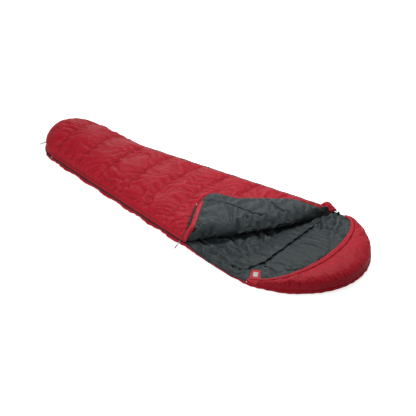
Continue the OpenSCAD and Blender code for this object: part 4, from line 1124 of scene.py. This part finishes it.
# tab over the zip's end
TAB_LENGTH = 0.082
tx = np.array([0, .05, .12, .25, .4, .55, .7, .82, .9, .95, .985, 1.0]) * TAB_LENGTH
rows_top, rows_low = [], []
wn = np.linspace(-1, 1, 15)
for t in tx:
    w_half = mix(0.031, 0.02294, t / TAB_LENGTH) - 0.006 * sat((t - 0.076) / 0.006)
    lift = 0.0035 * math.sin(math.pi * t / TAB_LENGTH) + 0.0016 * (t / TAB_LENGTH) ** 2
    c = tab_o[:2] + tab_u * t
    p = c + tab_v * (wn * w_half)[:, None]
    curl = 0.0012 * wn ** 2 * (t / TAB_LENGTH) + 0.0004 * np.sin(wn * 6 + t * 80)
    edge = 0.0009 * np.abs(wn) ** 12
    rows_top.append(np.column_stack([p, tab_o[2] + 0.0026 + lift * 0.3 + curl - edge]))
    rows_low.append(np.column_stack([p, tab_o[2] + 0.0002 + lift * 0.3 + curl + edge]))
ring_rows = [np.vstack([a, b[::-1]]) for a, b in zip(rows_top, rows_low)]
zip_tab = loft("zip_tab_fabric", ring_rows, RED_TRIM, closed=True, caps=True, body="tab", slot="shell_fabric",
               stands_for=("zip_tab",))
finish_mesh(zip_tab)


def patch(name, centre, length, width, lift, mat, slot, stands_for, seed):
    """A thin stitched patch on the tab, with rounded edges."""
    ln, wd = np.linspace(-1, 1, 13), np.linspace(-1, 1, 11)
    grid = []
    for a in ln:
        c = tab_o[:2] + tab_u * (centre + a * length / 2)
        p = c + tab_v * (wd * width / 2)[:, None]
        t = (centre + a * length / 2) / TAB_LENGTH
        base = 0.3 * (0.0035 * math.sin(math.pi * t) + 0.0016 * t * t)
        edge = 0.0005 * np.maximum(abs(a), np.abs(wd)) ** 10
        grid.append(np.column_stack([p, tab_o[2] + lift + base - edge + 0.00015 * np.sin(wd * 9 + seed + a * 5)]))
    ob = loft(name, grid, mat, body="tab", slot=slot, stands_for=stands_for)
    mod = ob.modifiers.new("thickness", "SOLIDIFY")
    mod.thickness, mod.offset = 0.0006, -1
    return ob


patch("tab_label_satin", 0.041, 0.041, 0.026, 0.0037, LABEL, "label_fabric", ("tab_label",), 1)
patch("tab_hook_patch_pad", 0.0508, 0.033, 0.031, -0.0006, HOOKS, "hook_tape", ("tab_hook_patch",), 2)

# ---------------------------------------------------------------- cords
chan_end = chan[-1]
chan_out = chan[-1] - chan[-2]
chan_out /= np.linalg.norm(chan_out)
LOCK = np.array([0.744268, 0.393754, 0.046966])
cord_pts = np.array([
    chan_end + 0.0003 * chan_out, chan_end + 0.005 * chan_out, chan_end + [-0.014, 0.004, -0.003],
    LOCK + [0.022, 0.0015, 0.002], LOCK + [0.012, 0, 0], LOCK, LOCK - [0.011, 0, 0],
    LOCK + [-0.017, 0.002, -0.002], LOCK + [-0.023, 0.006, -0.005]])
cord_path = resample(cord_pts, 0.0008)
for _ in range(6):
    cord_path[1:-1] = (cord_path[:-2] + 2 * cord_path[1:-1] + cord_path[2:]) / 4
twist = np.linspace(0, len(cord_path) * 0.8, len(cord_path))
drawcord = tube("drawcord_end_braid", cord_path, 0.0015 * (1 + 0.05 * np.sin(twist * 2.4)), CORD_BLACK,
                sides=12, body="bag", slot="black_cord", stands_for=("drawcord_end",))


# the lock's spring, a real coil of wire
spring_low, spring_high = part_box("cord_lock_spring")
WIRE, TRAVEL = 0.0003, 0.0035
spring_long = spring_high.z - spring_low.z
wound = np.linspace(0, 1, 170)
spring_turn = 2 * math.pi * 5.5 * wound
spring_mid = (spring_low + spring_high) / 2
spring_out = (spring_high.x - spring_low.x) / 2 - WIRE
spring = tube("cord_lock_spring_wire", np.column_stack([
    spring_mid.x + spring_out * np.cos(spring_turn), spring_mid.y + spring_out * np.sin(spring_turn),
    spring_low.z + WIRE + (spring_long - 2 * WIRE) * wound]), WIRE, STEEL, sides=8, body="bag", slot="bare_metal",
    stands_for=("cord_lock_spring",))
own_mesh(spring)

# the draft tube behind the zip, inside the bag
tube_x = np.linspace(-0.870, 0.170, 7)
tube_y = 0.062 - half(tube_x)
tube_line = resample(np.column_stack([tube_x, tube_y, bottom_z(tube_x, tube_y) + 0.0074]), 0.006)
tube_along = np.arange(len(tube_line)) * 0.006
tube("zip_draft_tube_fabric", tube_line, 0.0056 + 0.0003 * ripple(tube_along, 0.03, 131, 6), GREY, sides=14,
     body="bag", slot="lining_fabric", stands_for=("zip_draft_tube",))

for name, mat in (("cord_lock_body", MOULDED), ("cord_lock_button", MOULDED), ("zip_slider", ENAMEL),
                  ("pull_cord", CORD_GREY), ("puller", MOULDED), ("zip_bottom_stop", STEEL), ("zip_end_stop", STEEL),
                  ("flap_end_stop", STEEL), ("foot_loop", CORD_GREY), ("loop_anchor", TRIM_BLACK)):
    ob = NODES[name]
    ob.data.materials.clear()
    ob.data.materials.append(mat)


# ---------------------------------------------------------------- floor, light, camera
def camera():
    data = bpy.data.cameras.new("camera")
    cam = bpy.data.objects.new("camera", data)
    scene.collection.objects.link(cam)
    az, el, distance = math.radians(40.27), math.radians(33.11), 6.53
    back = Vector((math.sin(az) * math.cos(el), -math.cos(az) * math.cos(el), math.sin(el)))
    cam.location = Vector((0.0943, 0.0173, 0.0)) + back * distance
    cam.rotation_mode = "QUATERNION"
    cam.rotation_quaternion = (-back).to_track_quat("-Z", "Y")
    data.lens, data.sensor_width = 97.7, 36
    data.clip_start, data.clip_end = 0.1, 100
    scene.camera = cam


def area_light(name, where, target, size, power):
    data = bpy.data.lights.new(name, "AREA")
    data.shape, data.size, data.energy = "DISK", size, power
    ob = bpy.data.objects.new(name, data)
    ob.location = where
    ob.rotation_mode = "QUATERNION"
    ob.rotation_quaternion = (Vector(target) - Vector(where)).to_track_quat("-Z", "Y")
    scene.collection.objects.link(ob)


def stage():
    scene.world = bpy.data.worlds.new("world")
    node, link = empty_tree(scene.world)
    path = node("ShaderNodeLightPath")
    seen = node("ShaderNodeBackground", Strength=1.0)
    light = node("ShaderNodeBackground", Strength=0.20)
    both = node("ShaderNodeMath", operation="ADD")
    more = node("ShaderNodeMath", operation="ADD", use_clamp=True)
    pick = node("ShaderNodeMixShader")
    link(path.outputs["Is Camera Ray"], both.inputs[0])
    link(path.outputs["Is Glossy Ray"], both.inputs[1])
    link(both.outputs[0], more.inputs[0])
    link(path.outputs["Is Transmission Ray"], more.inputs[1])
    link(more.outputs[0], pick.inputs[0])
    link(light.outputs[0], pick.inputs[1])
    link(seen.outputs[0], pick.inputs[2])
    link(pick.outputs[0], node("ShaderNodeOutputWorld").inputs[0])
    floor_mat = bpy.data.materials.new("floor_white")
    node, link = empty_tree(floor_mat)
    matt = node("ShaderNodeBsdfDiffuse", Color=(0.86, 0.86, 0.86, 1))
    glow = node("ShaderNodeEmission")
    level = node("ShaderNodeMath", operation="MULTIPLY")
    level.inputs[1].default_value = 0.80
    add = node("ShaderNodeAddShader")
    link(node("ShaderNodeLightPath").outputs["Is Camera Ray"], level.inputs[0])
    link(level.outputs[0], glow.inputs["Strength"])
    link(matt.outputs[0], add.inputs[0])
    link(glow.outputs[0], add.inputs[1])
    link(add.outputs[0], node("ShaderNodeOutputMaterial").inputs[0])
    n = 48
    turn = [2 * math.pi * k / n for k in range(n)]
    ring_points = [(14 * math.cos(a), 14 * math.sin(a), -0.001) for a in turn]
    floor = new_object("floor", ring_points, [tuple(range(n))], floor_mat, smooth=False)
    area_light("key", (0.55, 0.75, 2.3), (0.1, 0.0, 0.0), 0.7, 50)
    area_light("rake", (-2.2, 1.9, 1.5), (-0.1, 0.0, 0.0), 0.8, 16)
    area_light("fill", (-0.8, -2.9, 1.5), (0.0, 0.0, 0.0), 1.5, 46)
    scene.view_settings.view_transform = "Standard"


camera()
stage()
